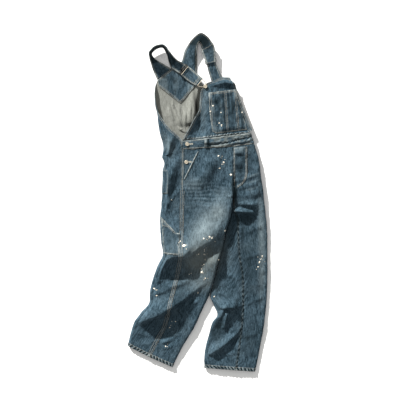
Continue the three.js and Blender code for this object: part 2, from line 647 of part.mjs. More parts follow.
// Buttons: a domed head on a short stem.
function button(name, place, under, stem) {
  const [x, y] = place;
  const profile = [[0, 0], [stemRadius, 0], [stemRadius, stem], [buttonRadius, stem]];
  profile.push([buttonRadius, stem + buttonRim * 0.5], [buttonRadius * 0.8, stem + buttonRim * 0.9]);
  profile.push([0, stem + buttonRim]);
  const turned = new THREE.LatheGeometry(profile.map(([r, h]) => new THREE.Vector2(r, h)), 24);
  const mesh = addMetal(name, bodyOfGeometry(turned.rotateX(Math.PI / 2)), brass);
  const reach = stem === shortStem ? buttonRadius : stemRadius;
  mesh.position.set(x, y, topOf(under, x, y, reach) + seamGap);
}
button("side_button_upper", sideButtonUpper, waistBody, shortStem);
button("side_button_lower", sideButtonLower, frontRightBody, shortStem);
button("bib_button", bibButton, bibBody, hookStem);

// Bib hook: a closed wire from the strap's end round the button's stem.
const wireLow = topOf(bibBody, bibButton[0], bibButton[1], stemRadius) + seamGap + 3;
const wireHigh = topOf(rightStrapBody, -2, 512, 12) + seamGap * 3 + hookWire;
// x y, share of the way up from the stem to the strap
const wireRoute = [
  [34.6, 487.6, 0], [33, 497, 0], [28, 509, 0.5], [17, 519, 1], [7, 507, 1],
  [-2, 494, 1], [8, 489, 0.7], [20, 487.5, 0.3], [28, 484.6, 0],
];
const wireSpots = wireRoute.map(([x, y, up]) => new THREE.Vector3(x, y, mix(wireLow, wireHigh, up)));
const wirePath = new THREE.CatmullRomCurve3(wireSpots, true);
addMetal("bib_hook", bodyOfGeometry(new THREE.TubeGeometry(wirePath, 40, hookWire, 8, true)), brass);

export default dungarees;
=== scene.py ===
import math
import bpy
import numpy as np
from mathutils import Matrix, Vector, geometry
from mathutils.bvhtree import BVHTree


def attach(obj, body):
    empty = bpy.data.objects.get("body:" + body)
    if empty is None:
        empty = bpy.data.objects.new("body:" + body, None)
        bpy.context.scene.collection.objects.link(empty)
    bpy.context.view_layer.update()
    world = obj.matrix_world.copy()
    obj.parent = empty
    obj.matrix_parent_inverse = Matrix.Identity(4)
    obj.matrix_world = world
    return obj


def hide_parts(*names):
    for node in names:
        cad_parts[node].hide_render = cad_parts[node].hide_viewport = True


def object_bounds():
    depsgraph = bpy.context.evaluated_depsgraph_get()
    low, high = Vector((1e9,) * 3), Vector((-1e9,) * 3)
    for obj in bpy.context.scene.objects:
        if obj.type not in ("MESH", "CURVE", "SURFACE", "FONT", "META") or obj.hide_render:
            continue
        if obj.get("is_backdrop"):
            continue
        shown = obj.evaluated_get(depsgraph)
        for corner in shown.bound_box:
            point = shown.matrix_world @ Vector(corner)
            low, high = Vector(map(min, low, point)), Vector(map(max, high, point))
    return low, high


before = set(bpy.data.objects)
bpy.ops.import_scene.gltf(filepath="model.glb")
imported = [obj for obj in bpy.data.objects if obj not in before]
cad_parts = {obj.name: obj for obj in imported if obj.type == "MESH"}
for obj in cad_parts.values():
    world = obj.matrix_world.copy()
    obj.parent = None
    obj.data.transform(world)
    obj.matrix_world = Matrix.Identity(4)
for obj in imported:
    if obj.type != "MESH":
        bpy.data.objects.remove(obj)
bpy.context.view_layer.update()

print("frame loaded")

# every shape below is worked out in millimetres and scaled when the mesh is made
mm = 0.001
gap = 0.3
denimThick = 1.6
strapThick = 2.6
rimWide = 1.3


def mix(a, b, t):
    return a + (b - a) * t


def soft(t):
    t = np.clip(t, 0, 1)
    return t * t * (3 - 2 * t)


def bell(t, wide):
    return np.exp(-(t / wide) ** 2)


def softNoise(x, y, cell, seed):
    grid = np.random.RandomState(seed).uniform(-1, 1, (64, 64))
    gx, gy = x / cell, y / cell
    ix, iy = np.floor(gx).astype(int), np.floor(gy).astype(int)
    fx, fy = soft(gx - ix), soft(gy - iy)
    a, b = grid[ix % 64, iy % 64], grid[(ix + 1) % 64, iy % 64]
    c, d = grid[ix % 64, (iy + 1) % 64], grid[(ix + 1) % 64, (iy + 1) % 64]
    return mix(mix(a, b, fx), mix(c, d, fx), fy)


# smooth curve through the rows of a table
def rowsAt(table, at):
    t = np.asarray(table, float)
    n = len(t)
    i = np.clip(np.floor(at).astype(int), 0, n - 2)
    f = (np.asarray(at, float) - i)[..., None]
    p0, p1 = t[np.clip(i - 1, 0, n - 1)], t[i]
    p2, p3 = t[i + 1], t[np.clip(i + 2, 0, n - 1)]
    bend = (2 * p0 - 5 * p1 + 4 * p2 - p3) * f ** 2 + (-p0 + 3 * p1 - 3 * p2 + p3) * f ** 3
    return 0.5 * (2 * p1 + (p2 - p0) * f + bend)


# ridges and troughs: crest points x y rise, then the width toward the light and away from it
def foldRise(table, x, y):
    total = np.zeros_like(x)
    for crest, toLight, away in table:
        nearest = np.full_like(x, 1e12)
        value = np.zeros_like(x)
        for (x0, y0, rise0), (x1, y1, rise1) in zip(crest, crest[1:]):
            run = math.hypot(x1 - x0, y1 - y0)
            ux, uy = (x1 - x0) / run, (y1 - y0) / run
            along = np.clip((x - x0) * ux + (y - y0) * uy, 0, run)
            dx, dy = x - x0 - along * ux, y - y0 - along * uy
            off = np.hypot(dx, dy)
            lit = soft(0.5 + (0.85 * dy - 0.53 * dx) / (off + 1e-6))
            here = mix(rise0, rise1, along / run) * bell(off, mix(away, toLight, lit))
            value = np.where(off < nearest, here, value)
            nearest = np.minimum(nearest, off)
        total += value
    return total


def gridNormals(p):
    n = np.cross(np.gradient(p, axis=0), np.gradient(p, axis=1))
    return n / np.maximum(np.linalg.norm(n, axis=2, keepdims=True), 1e-9)


# length along the rows or columns of a grid, from its first edge
def runAlong(p, axis):
    step = np.linalg.norm(np.diff(p, axis=axis), axis=2)
    start = np.zeros_like(np.take(p[..., 0], [0], axis=axis))
    return np.concatenate([start, np.cumsum(step, axis=axis)], axis=axis)


def gridFaces(rows, cols, flip=False):
    i, j = np.meshgrid(np.arange(rows - 1), np.arange(cols - 1), indexing="ij")
    a = (i * cols + j).ravel()
    quads = np.stack([a, a + cols, a + cols + 1, a + 1], axis=1)
    return (quads[:, ::-1] if flip else quads).tolist()


def makePiece(name, points, faces, materials, node=None, marks=None):
    mesh = bpy.data.meshes.new(name)
    mesh.from_pydata((np.asarray(points).reshape(-1, 3) * mm).tolist(), [], faces)
    mesh.polygons.foreach_set("use_smooth", [True] * len(mesh.polygons))
    for key, values in (marks or {}).items():
        layer = mesh.attributes.new(key, "FLOAT", "POINT")
        layer.data.foreach_set("value", np.asarray(values, float).ravel())
    for material in materials:
        mesh.materials.append(material)
    piece = bpy.data.objects.new(name, mesh)
    bpy.context.collection.objects.link(piece)
    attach(piece, "root")
    if node:
        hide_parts(node)
    return piece


def thicken(piece, thick, offset=-1, inside=0):
    shell = piece.modifiers.new("thickness", "SOLIDIFY")
    shell.thickness = thick * mm
    shell.offset = offset
    shell.material_offset = inside


# topmost cloth straight below a point, from a set of finished pieces
def coverOf(pieces):
    points, faces = [], []
    for piece in pieces:
        base = len(points)
        points += [v.co / mm for v in piece.data.vertices]
        faces += [[base + k for k in f.vertices] for f in piece.data.polygons]
    return BVHTree.FromPolygons(points, faces)


def dropOn(cover, x, y):
    hit, normal, _, _ = cover.ray_cast(Vector((x, y, 400)), Vector((0, 0, -1)))
    if hit is None:
        return None, None
    return hit.z, normal if normal.z > 0 else -normal


# cloth colours
# soft patches of paler cloth, most of them fading and three of them painted highlight on lit slopes: centre
# x y, half width, half length, slant in degrees, strength
fadeAndHighlightPatches = [
    [34, -96, 46, 112, -34, 0.9],
    [78, -42, 38, 46, -32, 0.95],
    [-32, 82, 38, 24, 0, 0.3],
    [100, -20, 30, 60, 0, 0.2],
    [267, -140, 15, 170, 2, 0.6],
    # painted highlight on the lit ridge along the right leg's inner edge
    [92, -210, 16, 120, -16, 0.4],
    [0, -330, 60, 46, 20, 0.3],
    [-40, -600, 30, 90, -30, 0.15],
    # the next two rows: painted highlight on the lit strip of the bib beside its armhole edge, and on the
    # lit fold of the turned back at the waist
    [24, 400, 14, 90, -4, 0.3],
    [-130, 250, 22, 50, 22, 0.45],
    [-110, -175, 40, 50, 0, 0.2],
    [266, -250, 14, 140, 0, 0.7],
    [232, 118, 34, 4, 20, 0.4],
    [224, 90, 36, 4, 18, 0.35],
    [228, 62, 30, 4, 16, 0.3],
    [176, 222, 20, 9, 8, 0.4],
]
# darker cloth, same columns: some patches are cloth that has kept its dye, many are painted shade where
# shadows and dark folds fall, as marked below
dyeAndShadePatches = [
    # the next two rows: painted shade on the turned top of the left strap
    [3, 683, 44, 22, 0, 0.8],
    [34, 656, 18, 26, 0, 0.8],
    [-110, 492, 46, 34, 0, 0.4],
    [120, 395, 62, 66, 8, 0.35],
    [178, 160, 26, 62, 0, 0.42],
    # the next two rows: painted shade in the crotch and where the right leg's shadow falls on the left leg
    [198, -60, 46, 30, 0, 0.7],
    [122, -150, 24, 120, -12, 0.45],
    [212, -250, 42, 140, 0, 0.6],
    [140, -400, 44, 60, 0, 0.3],
    [-110, -380, 70, 50, 20, 0.35],
    [-36, -70, 32, 70, 0, 0.3],
    [222, -570, 40, 100, 0, 0.35],
    [90, -520, 60, 60, 0, 0.3],
    [-110, 110, 34, 90, -16, 0.3],
    [-120, -475, 90, 50, 25, 0.3],
    [70, 423, 22, 12, 0, 0.6],
    [79, 371, 26, 20, 0, 0.6],
    [178, 198, 20, 5, -6, 0.7],
    [172, 142, 12, 20, 0, 0.5],
    # painted shade beside the fly's edge at the centre front
    [151, 58, 10, 46, 4, 1.8],
    # painted shade in the soft fold across the front of the right hip
    [34, 122, 13, 70, -33, 0.45],
    [-118, 280, 40, 50, 0, 0.25],
    [-80, -385, 60, 36, 20, 0.55],
    # the next two rows: painted shade in the crease running down the left leg below the crotch
    [188, -128, 10, 48, -4, 0.8],
    [186, -190, 9, 44, 2, 0.5],
    # the next two rows: painted shade under the folds of the lower left leg
    [84, -512, 26, 16, 38, 1.2],
    [64, -548, 36, 32, 0, 0.65],
    [206, -565, 24, 26, 30, 0.65],
    [-118, -170, 40, 50, 0, 0.5],
    # the next two rows: painted shade on the back facing below the right strap
    [-110, 524, 9, 30, 12, 0.55],
    [-62, 502, 16, 40, -30, 0.4],
    [-95, -420, 60, 26, 20, 0.3],
    # painted shade along the inner edge of the left strap
    [-11.5, 610, 5.5, 50, 0, 1.6],
    [-150, 515, 34, 24, 40, 0.35],
    # the next two rows: painted shade on the turned top of the left strap
    [-4, 702, 50, 34, 0, 3.2],
    [28, 672, 24, 18, 45, 1.3],
    # painted shade in the slot of the right strap's slider
    [-63, 563, 18, 4.2, 58, 2.0],
    # painted shade beside the bib's armhole edge
    [12, 474, 8, 30, 0, 0.5],
]
# greyed, grubby patches, same columns
dirtPatches = [
    [20, -235, 80, 62, 28, 1.0],
    [40, -330, 46, 40, 20, 0.35],
]


def patchSum(table, x, y):
    total = np.zeros_like(x)
    for cx, cy, across, along, slant, strength in table:
        a = math.radians(slant)
        u = (x - cx) * math.cos(a) + (y - cy) * math.sin(a)
        v = -(x - cx) * math.sin(a) + (y - cy) * math.cos(a)
        total = np.maximum(total, strength * np.exp(-((u / across) ** 2 + (v / along) ** 2)))
    return total


# worn colours of a sheet, with the whiskers across the hips, plus the painted shade and painted highlights
# from the patch tables
def clothMarks(p, n, across, along, edge, deep=0):
    x, y = p[..., 0], p[..., 1]
    top = soft(n[..., 2] * 2)
    whisker = np.sin(y / 2.5 + 2.5 * softNoise(x, y, 60, 5))
    thigh = np.exp(-(((x - 40) / 105) ** 2 + ((y - 46) / 50) ** 2)) * top
    thigh = thigh * (0.6 + 0.4 * softNoise(x, y, 40, 6))
    fadeAndHighlight = patchSum(fadeAndHighlightPatches, x, y) * top + 0.34 * np.maximum(0, whisker) * thigh
    fadeAndHighlight = fadeAndHighlight + 0.08 * softNoise(x, y, 45, 8) + 0.05 * softNoise(x, y, 16, 9)
    wearAndHighlight = np.exp(-np.abs(edge) / 3.0) * (0.6 + 0.4 * softNoise(along, across, 9, 12))
    grime = patchSum(dirtPatches, x, y) * top * (0.8 + 0.25 * softNoise(x, y, 24, 15))
    # whisker bands are the cloth's own; the patch table and the marks passed in as deep add kept dye and
    # painted shade
    dark = 0.85 * np.maximum(0, -whisker) * thigh + patchSum(dyeAndShadePatches, x, y) * top + deep
    return {"fadeAndHighlight": np.clip(fadeAndHighlight, 0, 1), "wearAndHighlight": np.clip(wearAndHighlight, 0, 1), "grime": np.clip(grime, 0, 1),
            "deep": np.clip(dark, 0, 1), "acrossCloth": across * mm, "alongCloth": along * mm}


def newMaterial(name):
    material = bpy.data.materials.new(name)
    material.use_nodes = True
    tree = material.node_tree
    tree.nodes.clear()
    out = tree.nodes.new("ShaderNodeOutputMaterial")
    shader = tree.nodes.new("ShaderNodeBsdfPrincipled")
    tree.links.new(shader.outputs[0], out.inputs[0])
    return material, tree, shader


def attribute(tree, name):
    node = tree.nodes.new("ShaderNodeAttribute")
    node.attribute_name = name
    return node.outputs["Fac"]


def mathNode(tree, operation, a, b):
    node = tree.nodes.new("ShaderNodeMath")
    node.operation = operation
    for k, value in enumerate((a, b)):
        if isinstance(value, (int, float)):
            node.inputs[k].default_value = value
        else:
            tree.links.new(value, node.inputs[k])
    return node.outputs[0]


def mixColour(tree, factor, a, b):
    node = tree.nodes.new("ShaderNodeMix")
    node.data_type = "RGBA"
    tree.links.new(factor, node.inputs["Factor"])
    for key, value in (("A", a), ("B", b)):
        socket = [s for s in node.inputs if s.name == key and s.type == "RGBA"][0]
        if isinstance(value, tuple):
            socket.default_value = (*value, 1)
        else:
            tree.links.new(value, socket)
    return [s for s in node.outputs if s.type == "RGBA"][0]


# noise stretched over the cloth's own width and length, centred on nought
def grainNode(tree, where, scale, detail):
    spread = tree.nodes.new("ShaderNodeMapping")
    spread.inputs["Scale"].default_value = scale
    tree.links.new(where, spread.inputs[0])
    noise = tree.nodes.new("ShaderNodeTexNoise")
    noise.inputs["Scale"].default_value = 1
    noise.inputs["Detail"].default_value = detail
    tree.links.new(spread.outputs[0], noise.inputs["Vector"])
    return mathNode(tree, "SUBTRACT", noise.outputs["Fac"], 0.5)


def denimMaterial(name, deep, mid, pale, edgePale, grimeColour, darkest, grain):
    material, tree, shader = newMaterial(name)
    place = tree.nodes.new("ShaderNodeCombineXYZ")
    tree.links.new(attribute(tree, "acrossCloth"), place.inputs[0])
    tree.links.new(attribute(tree, "alongCloth"), place.inputs[1])
    where = place.outputs[0]
    slub = grainNode(tree, where, (300, 34, 1), 2)  # streaks run along the warp
    warp = grainNode(tree, where, (520, 56, 1), 2)
    speck = grainNode(tree, where, (240, 130, 1), 3)
    cloud = grainNode(tree, where, (96, 36, 1), 3)
    blotch = grainNode(tree, where, (22, 18, 1), 4)
    tone = mathNode(tree, "MULTIPLY", slub, 1.8 * grain)
    for part, amount in ((warp, 1.5 * grain), (speck, 1.6 * grain), (cloud, 1.3 * grain), (blotch, 0.9)):
        tone = mathNode(tree, "ADD", tone, mathNode(tree, "MULTIPLY", part, amount))
    tone = mathNode(tree, "ADD", tone, 0.42)
    colour = mixColour(tree, tone, deep, mid)
    evened = mathNode(tree, "ADD", mathNode(tree, "MULTIPLY", tone, 0.55), 0.54)
    # paler cloth: fading, with painted highlights on some lit slopes from the patch table
    worn = mathNode(tree, "MULTIPLY", attribute(tree, "fadeAndHighlight"), evened)
    colour = mixColour(tree, worn, colour, pale)
    rubbed = mathNode(tree, "MULTIPLY", attribute(tree, "wearAndHighlight"), mathNode(tree, "ADD", tone, 0.2))
    colour = mixColour(tree, rubbed, colour, edgePale)
    colour = mixColour(tree, mathNode(tree, "MULTIPLY", attribute(tree, "grime"), 0.75), colour, grimeColour)
    # darkens toward the darkest colour: cloth that kept its dye, and painted shade from the patches and from
    # the marks on seams, creases and straps
    dyeAndShade = mathNode(tree, "MULTIPLY", attribute(tree, "deep"), 0.98)
    colour = mixColour(tree, dyeAndShade, colour, darkest)
    tree.links.new(colour, shader.inputs["Base Color"])
    shader.inputs["Roughness"].default_value = 0.93
    shader.inputs["Specular IOR Level"].default_value = 0.12
    twill = tree.nodes.new("ShaderNodeTexWave")
    twill.wave_type = "BANDS"
    twill.bands_direction = "DIAGONAL"
    twill.inputs["Scale"].default_value = 190
    twill.inputs["Distortion"].default_value = 1.5
    tree.links.new(where, twill.inputs["Vector"])
    relief = mathNode(tree, "MULTIPLY", twill.outputs["Fac"], 0.4)
    for part, amount in ((speck, 2.2), (slub, 1.6)):
        relief = mathNode(tree, "ADD", relief, mathNode(tree, "MULTIPLY", part, amount))
    bump = tree.nodes.new("ShaderNodeBump")
    bump.inputs["Strength"].default_value = 0.5
    bump.inputs["Distance"].default_value = 0.0012
    tree.links.new(relief, bump.inputs["Height"])
    tree.links.new(bump.outputs[0], shader.inputs["Normal"])
    return material


def plainMaterial(name, colour, rough, metal=0.0, uneven=0.15, scale=120):
    material, tree, shader = newMaterial(name)
    noise = tree.nodes.new("ShaderNodeTexNoise")
    noise.inputs["Scale"].default_value = scale
    noise.inputs["Detail"].default_value = 4
    place = tree.nodes.new("ShaderNodeTexCoord")
    tree.links.new(place.outputs["Object"], noise.inputs["Vector"])
    dark = tuple(c * (1 - uneven) for c in colour)
    light = tuple(min(1, c * (1 + uneven)) for c in colour)
    tree.links.new(mixColour(tree, noise.outputs["Fac"], dark, light), shader.inputs["Base Color"])
    shader.inputs["Roughness"].default_value = rough
    shader.inputs["Metallic"].default_value = metal
    return material


denimLook = dict(
    deep=(0.007, 0.018, 0.026), mid=(0.054, 0.091, 0.120), pale=(0.150, 0.192, 0.208),
    edgePale=(0.25, 0.275, 0.265), grimeColour=(0.120, 0.132, 0.122),
    darkest=(0.004, 0.010, 0.013), grain=1.0,
)
insideLook = dict(
    deep=(0.13, 0.135, 0.12), mid=(0.225, 0.234, 0.218), pale=(0.285, 0.29, 0.275),
    edgePale=(0.34, 0.34, 0.31), grimeColour=(0.2, 0.2, 0.18),
    darkest=(0.012, 0.012, 0.011), grain=0.6,
)
denim = denimMaterial("denim", **denimLook)
insideCloth = denimMaterial("denimInside", **insideLook)
thread = plainMaterial("thread", (0.225, 0.215, 0.185), 0.8)
paleThread = plainMaterial("paleThread", (0.34, 0.33, 0.28), 0.8)
paint = plainMaterial("paint", (0.58, 0.535, 0.45), 0.55, uneven=0.08)
brassMetal = plainMaterial("brass", (0.34, 0.305, 0.24), 0.5, 0.35)
steelMetal = plainMaterial("steel", (0.05, 0.047, 0.042), 0.45, 0.5)
print("materials made")

# legs
# left edge x y, seam x y, right edge x y, heights left seam right, rounding left right, centre-back end x y
rightLeg = dict(
    rows=[
        [-152, 194, -66, 224, 145.85, 235, 20, 28, 28, 10, 0, -30.15, 228],
        [-142, 169, -66, 182, 145.85, 182, 22, 29, 28, 13, 0, -6.15, 186],
        [-148, 140, -66, 131, 145.85, 131, 22, 29, 28, 13, 0, 24.85, 135],
        [-149, 98, -68, 89, 146.35, 85, 22, 29, 28, 14, 0, 59.85, 93],
        [-152, 43, -68, 39, 147.85, 39, 22, 29, 30, 14, 0, 104.85, 43],
        [-155, -11, -69, -16, 143, -16, 21, 29, 44, 14, 12, 131, -16],
        [-161, -53, -70, -70, 133, -66, 20, 29, 42, 14, 11, 122, -66],
        [-160, -108, -71, -125, 116, -118, 21, 30, 42, 14, 9, 107, -118],
        [-156, -163, -72, -180, 103, -180, 23, 32, 28, 14, 9, 94, -180],
        [-148, -215, -75, -226, 87, -236, 34, 37, 44, 14, 9, 78, -236],
        [-170, -262, -83, -272, 74, -289, 33, 16, 35, 14, 9, 65, -288],
        [-188, -314, -93, -318, 61, -341, 22, 15, 26, 14, 10, 51, -340],
        [-203, -368, -106, -368, 46, -387, 19, 19, 20, 14, 15, 31, -385],
        [-207, -419, -118, -415, 23, -436, 18, 19, 18, 14, 14, 9, -434],
        [-238, -457, -127, -463, -1, -488, 24, 16, 18, 14, 13, -14, -485],
        [-267, -497, -142, -514, -30, -545, 20, 12, 17, 14, 12, -41, -542],
        [-282, -537, -167, -562, -62, -595, 15, 12, 15, 12, 12, -73, -591],
        [-291, -573, -192, -609, -88, -647, 14, 13, 13, 11, 11, -98, -643],
        [-296, -600, -209, -645, -108, -689, 13, 13, 12, 10, 10, -117, -685],
    ],
)
leftLeg = dict(
    rows=[
        [146.15, 235, 190, 241, 236, 247, 28, 26, 22, 0, 13, -29.85, 228],
        [146.15, 182, 200, 187, 254, 188, 28, 26, 22, 0, 13, -5.85, 186],
        [146.15, 131, 202, 131, 261, 131, 28, 26, 22, 0, 13, 25.15, 135],
        [146.65, 85, 205, 85, 268, 85, 28, 26, 22, 0, 13, 60.15, 93],
        [148.15, 39, 210, 36, 274, 36, 30, 25, 21, 0, 13, 105.15, 43],
        [144, -16, 171, -25, 282, -27, 15, 20, 19, 8, 13, 152, -16],
        [134, -66, 168, -75, 286, -75, 14, 17, 17, 10, 13, 144, -69],
        [117, -118, 167, -125, 289, -125, 14, 17, 16, 10, 13, 127, -119],
        [104, -180, 170, -180, 291, -180, 14, 17, 15, 10, 13, 114, -180],
        [88, -236, 175, -236, 291, -236, 14, 18, 15, 10, 13, 98, -236],
        [75, -289, 185, -289, 290, -289, 14, 18, 15, 10, 12, 85, -289],
        [62, -341, 188, -341, 290, -341, 14, 18, 14, 10, 12, 72, -341],
        [50, -387, 188, -387, 289, -387, 15, 18, 14, 11, 12, 61, -387],
        [66, -430, 188, -430, 286, -430, 17, 18, 14, 11, 12, 77, -430],
        [80, -470, 186, -470, 282, -470, 28, 17, 14, 12, 12, 92, -470],
        [60, -500, 184, -508, 276, -508, 20, 16, 14, 12, 12, 72, -501],
        [45, -550, 178, -560, 268, -560, 14, 15, 13, 12, 11, 57, -551],
        [31, -605, 171, -612, 259, -612, 14, 14, 13, 11, 11, 42, -606],
        [26, -650, 164, -660, 249, -664, 13, 14, 12, 10, 10, 36, -651],
        [26, -692, 157, -702, 238, -708, 12, 13, 12, 10, 10, 36, -693],
    ],
)
mainFolds = [
    # back of the hip
    [[(-94, 172, 10), (-112, 120, 18), (-132, 60, 18), (-150, -20, 9)], 26, 23],
    [[(-106, 282, 6), (-114, 256, 14), (-136, 208, 13)], 18, 15],
    # below the tool pocket and down the left of the knee
    [[(-172, -322, 4), (-158, -275, 14), (-132, -236, 20), (-104, -222, 20), (-62, -221, 16)], 46, 12],
    # end of the thigh and hollow of the knee
    [[(-60, -232, 13), (-3, -188, 28), (50, -158, 30), (88, -137, 5)], 74, 14],
    [[(-60, -290, -6), (0, -250, -10), (45, -220, -8)], 34, 30],
    # calf
    [[(-165, -374, 5), (-110, -347, 9), (-50, -324, 7)], 26, 16],
    [[(-262, -499, 14), (-225, -490, 27), (-171, -472, 36), (-113, -436, 34),
      (-54, -397, 20), (-20, -375, 6)], 48, 11],
    [[(-165, -592, 0), (-140, -583, 8), (-108, -572, 3)], 12, 8],
    # crotch and left hip
    [[(176, -3, 4), (200, -5, 12), (226, -7, 18), (240, -8, 8)], 14, 7],
    [[(150, -33, 20), (180, -36, 24), (208, -38, 18), (226, -38, 12)], 11, 8],
    [[(178, 20, 3), (258, 46, 6)], 16, 14],
    [[(78, 205, 2), (64, 168, 8), (38, 120, 10), (8, 75, 6), (-8, 50, 1)], 40, 22],
    [[(142, 215, 5), (143, 150, 7), (143, 90, 10), (145, 30, 8)], 18, 6],
    [[(192, -95, -4), (194, -150, -3), (192, -230, -1)], 16, 12],
    # lower left leg
    [[(72, -438, 8), (100, -438, 14), (126, -437, 23), (150, -436, 23), (168, -436, 6)], 26, 7],
    [[(114, -438, 8), (90, -474, 13), (68, -497, 12)], 9, 6],
    [[(122, -462, 8), (108, -520, 9)], 7, 6],
    [[(28, -637, 11), (58, -627, 15), (83, -612, 16), (118, -587, 15),
      (148, -560, 11), (168, -538, 4)], 18, 8],
    [[(240, -200, 4), (246, -330, 4)], 30, 30],
]
fineFolds = [
    [[(-110, 120, 2), (-140, 60, 3)], 8, 6],
    [[(-90, 40, 3), (-140, -20, 2)], 10, 6],
    [[(-60, 60, 2), (30, 40, 1)], 10, 8],
    [[(-40, 40, 1), (110, 22, 2.5)], 9, 8],
    [[(-30, 18, 2.5), (120, 4, 1)], 9, 8],
    [[(-20, -4, 1.5), (90, -16, 1.5)], 9, 8],
    [[(160, 90, 2), (250, 120, 3.5)], 12, 8],
    [[(160, 60, 3), (250, 84, 2)], 12, 8],
    [[(-130, -95, 2), (-80, -130, 3)], 9, 6],
    [[(-180, -330, 3), (-120, -318, 2)], 10, 7],
    [[(-195, -385, 3.5), (-140, -372, 2)], 8, 6],
    [[(-212, -430, 4), (-160, -440, 3)], 9, 6],
    [[(-40, -380, 4), (30, -340, 2)], 12, 8],
    [[(-60, -440, 2), (0, -410, 3)], 10, 7],
    [[(-120, -500, 3), (-50, -470, 2)], 14, 9],
    [[(-255, -545, 2), (-190, -560, 2.5)], 12, 8],
    [[(-140, -610, 3), (-90, -598, 1.5)], 9, 6],
    [[(200, -120, 1.5), (262, -100, 2.5)], 14, 9],
    [[(196, -230, 2.5), (265, -215, 1.5)], 14, 9],
    [[(120, -300, 2.5), (170, -320, 1.5)], 12, 8],
    [[(100, -380, 2.5), (160, -400, 2)], 10, 8],
    [[(210, -420, 1.5), (262, -400, 2.5)], 12, 8],
    [[(205, -560, 2.5), (250, -545, 1.5)], 12, 8],
    [[(60, -650, 2.5), (150, -630, 1.5)], 10, 7],
]


def legPoint(leg, at, turn):
    c = rowsAt(leg["rows"], at)
    left, seam, right = c[..., 0:2], c[..., 2:4], c[..., 4:6]
    highLeft, highSeam, highRight, roundLeft, roundRight = (c[..., k] for k in range(6, 11))
    roundLeft, roundRight = np.maximum(roundLeft, 0), np.maximum(roundRight, 0)
    dirLeft = seam - left
    dirLeft = dirLeft / np.linalg.norm(dirLeft, axis=-1, keepdims=True)
    dirRight = right - seam
    dirRight = dirRight / np.linalg.norm(dirRight, axis=-1, keepdims=True)
    l = left + dirLeft * roundLeft[..., None]
    r = right - dirRight * roundRight[..., None]
    q = np.mod(turn, 4)
    t = np.where(q < 0.5, q * 2, np.clip(q * 2 - 1, 0, 1))
    firstHalf = (q < 0.5)[..., None]
    xy = np.where(firstHalf, mix(l, seam, t[..., None]), mix(seam, r, t[..., None]))
    z = np.where(q < 0.5, mix(highLeft, highSeam, soft(t)), mix(highSeam, highRight, soft(t)))
    hip = soft(5.2 - at)  # the two hips run into each other at the centre front
    fromLeft, fromRight = q / 0.08, (1 - q) / 0.08
    calm = soft(fromLeft + hip * (leg["backAt"] == "left"))
    calm = calm * soft(fromRight + hip * (leg["backAt"] == "right"))
    last = len(leg["rows"]) - 1
    ends = soft(at / 1.2) * soft((last - at) / 1.2) if leg.get("foldEnds", True) else 1
    z = np.maximum(9, z + foldRise(leg["folds"], xy[..., 0], xy[..., 1]) * calm * ends)
    a = math.pi * (1.5 - q)
    xyRight = r + dirRight * (roundRight * np.cos(a))[..., None]
    zRight = highRight / 2 * (1 + np.sin(a))
    b = math.pi * (q - 3.5)
    xyLeft = l - dirLeft * (roundLeft * np.cos(b))[..., None]
    zLeft = highLeft / 2 * (1 + np.sin(b))
    back = c[..., 11:13]
    start = back if leg["backAt"] == "right" else r
    end = back if leg["backAt"] == "left" else l
    xyUnder = mix(start, end, (q - 2)[..., None])
    sides = [q <= 1, q < 2, q <= 3]
    x = np.select(sides, [xy[..., 0], xyRight[..., 0], xyUnder[..., 0]], xyLeft[..., 0])
    y = np.select(sides, [xy[..., 1], xyRight[..., 1], xyUnder[..., 1]], xyLeft[..., 1])
    z = np.select(sides, [z, zRight, np.zeros_like(z)], zLeft)
    return np.stack([x, y, z], axis=-1)


# turns at the edges of a panel for the hip rows, the crotch row and the leg rows
def stopsAt(stops, at):
    hip, fork, leg = (np.array(k, float) for k in stops)
    share = np.clip(at - 4, 0, 2)[:, None]
    first, second = soft(np.clip(share, 0, 1)), soft(np.clip(share - 1, 0, 1))
    return mix(mix(hip, fork, first), leg, second)


rightLeg.update(backAt="right", folds=mainFolds + fineFolds)
leftLeg.update(backAt="left", folds=mainFolds + fineFolds)


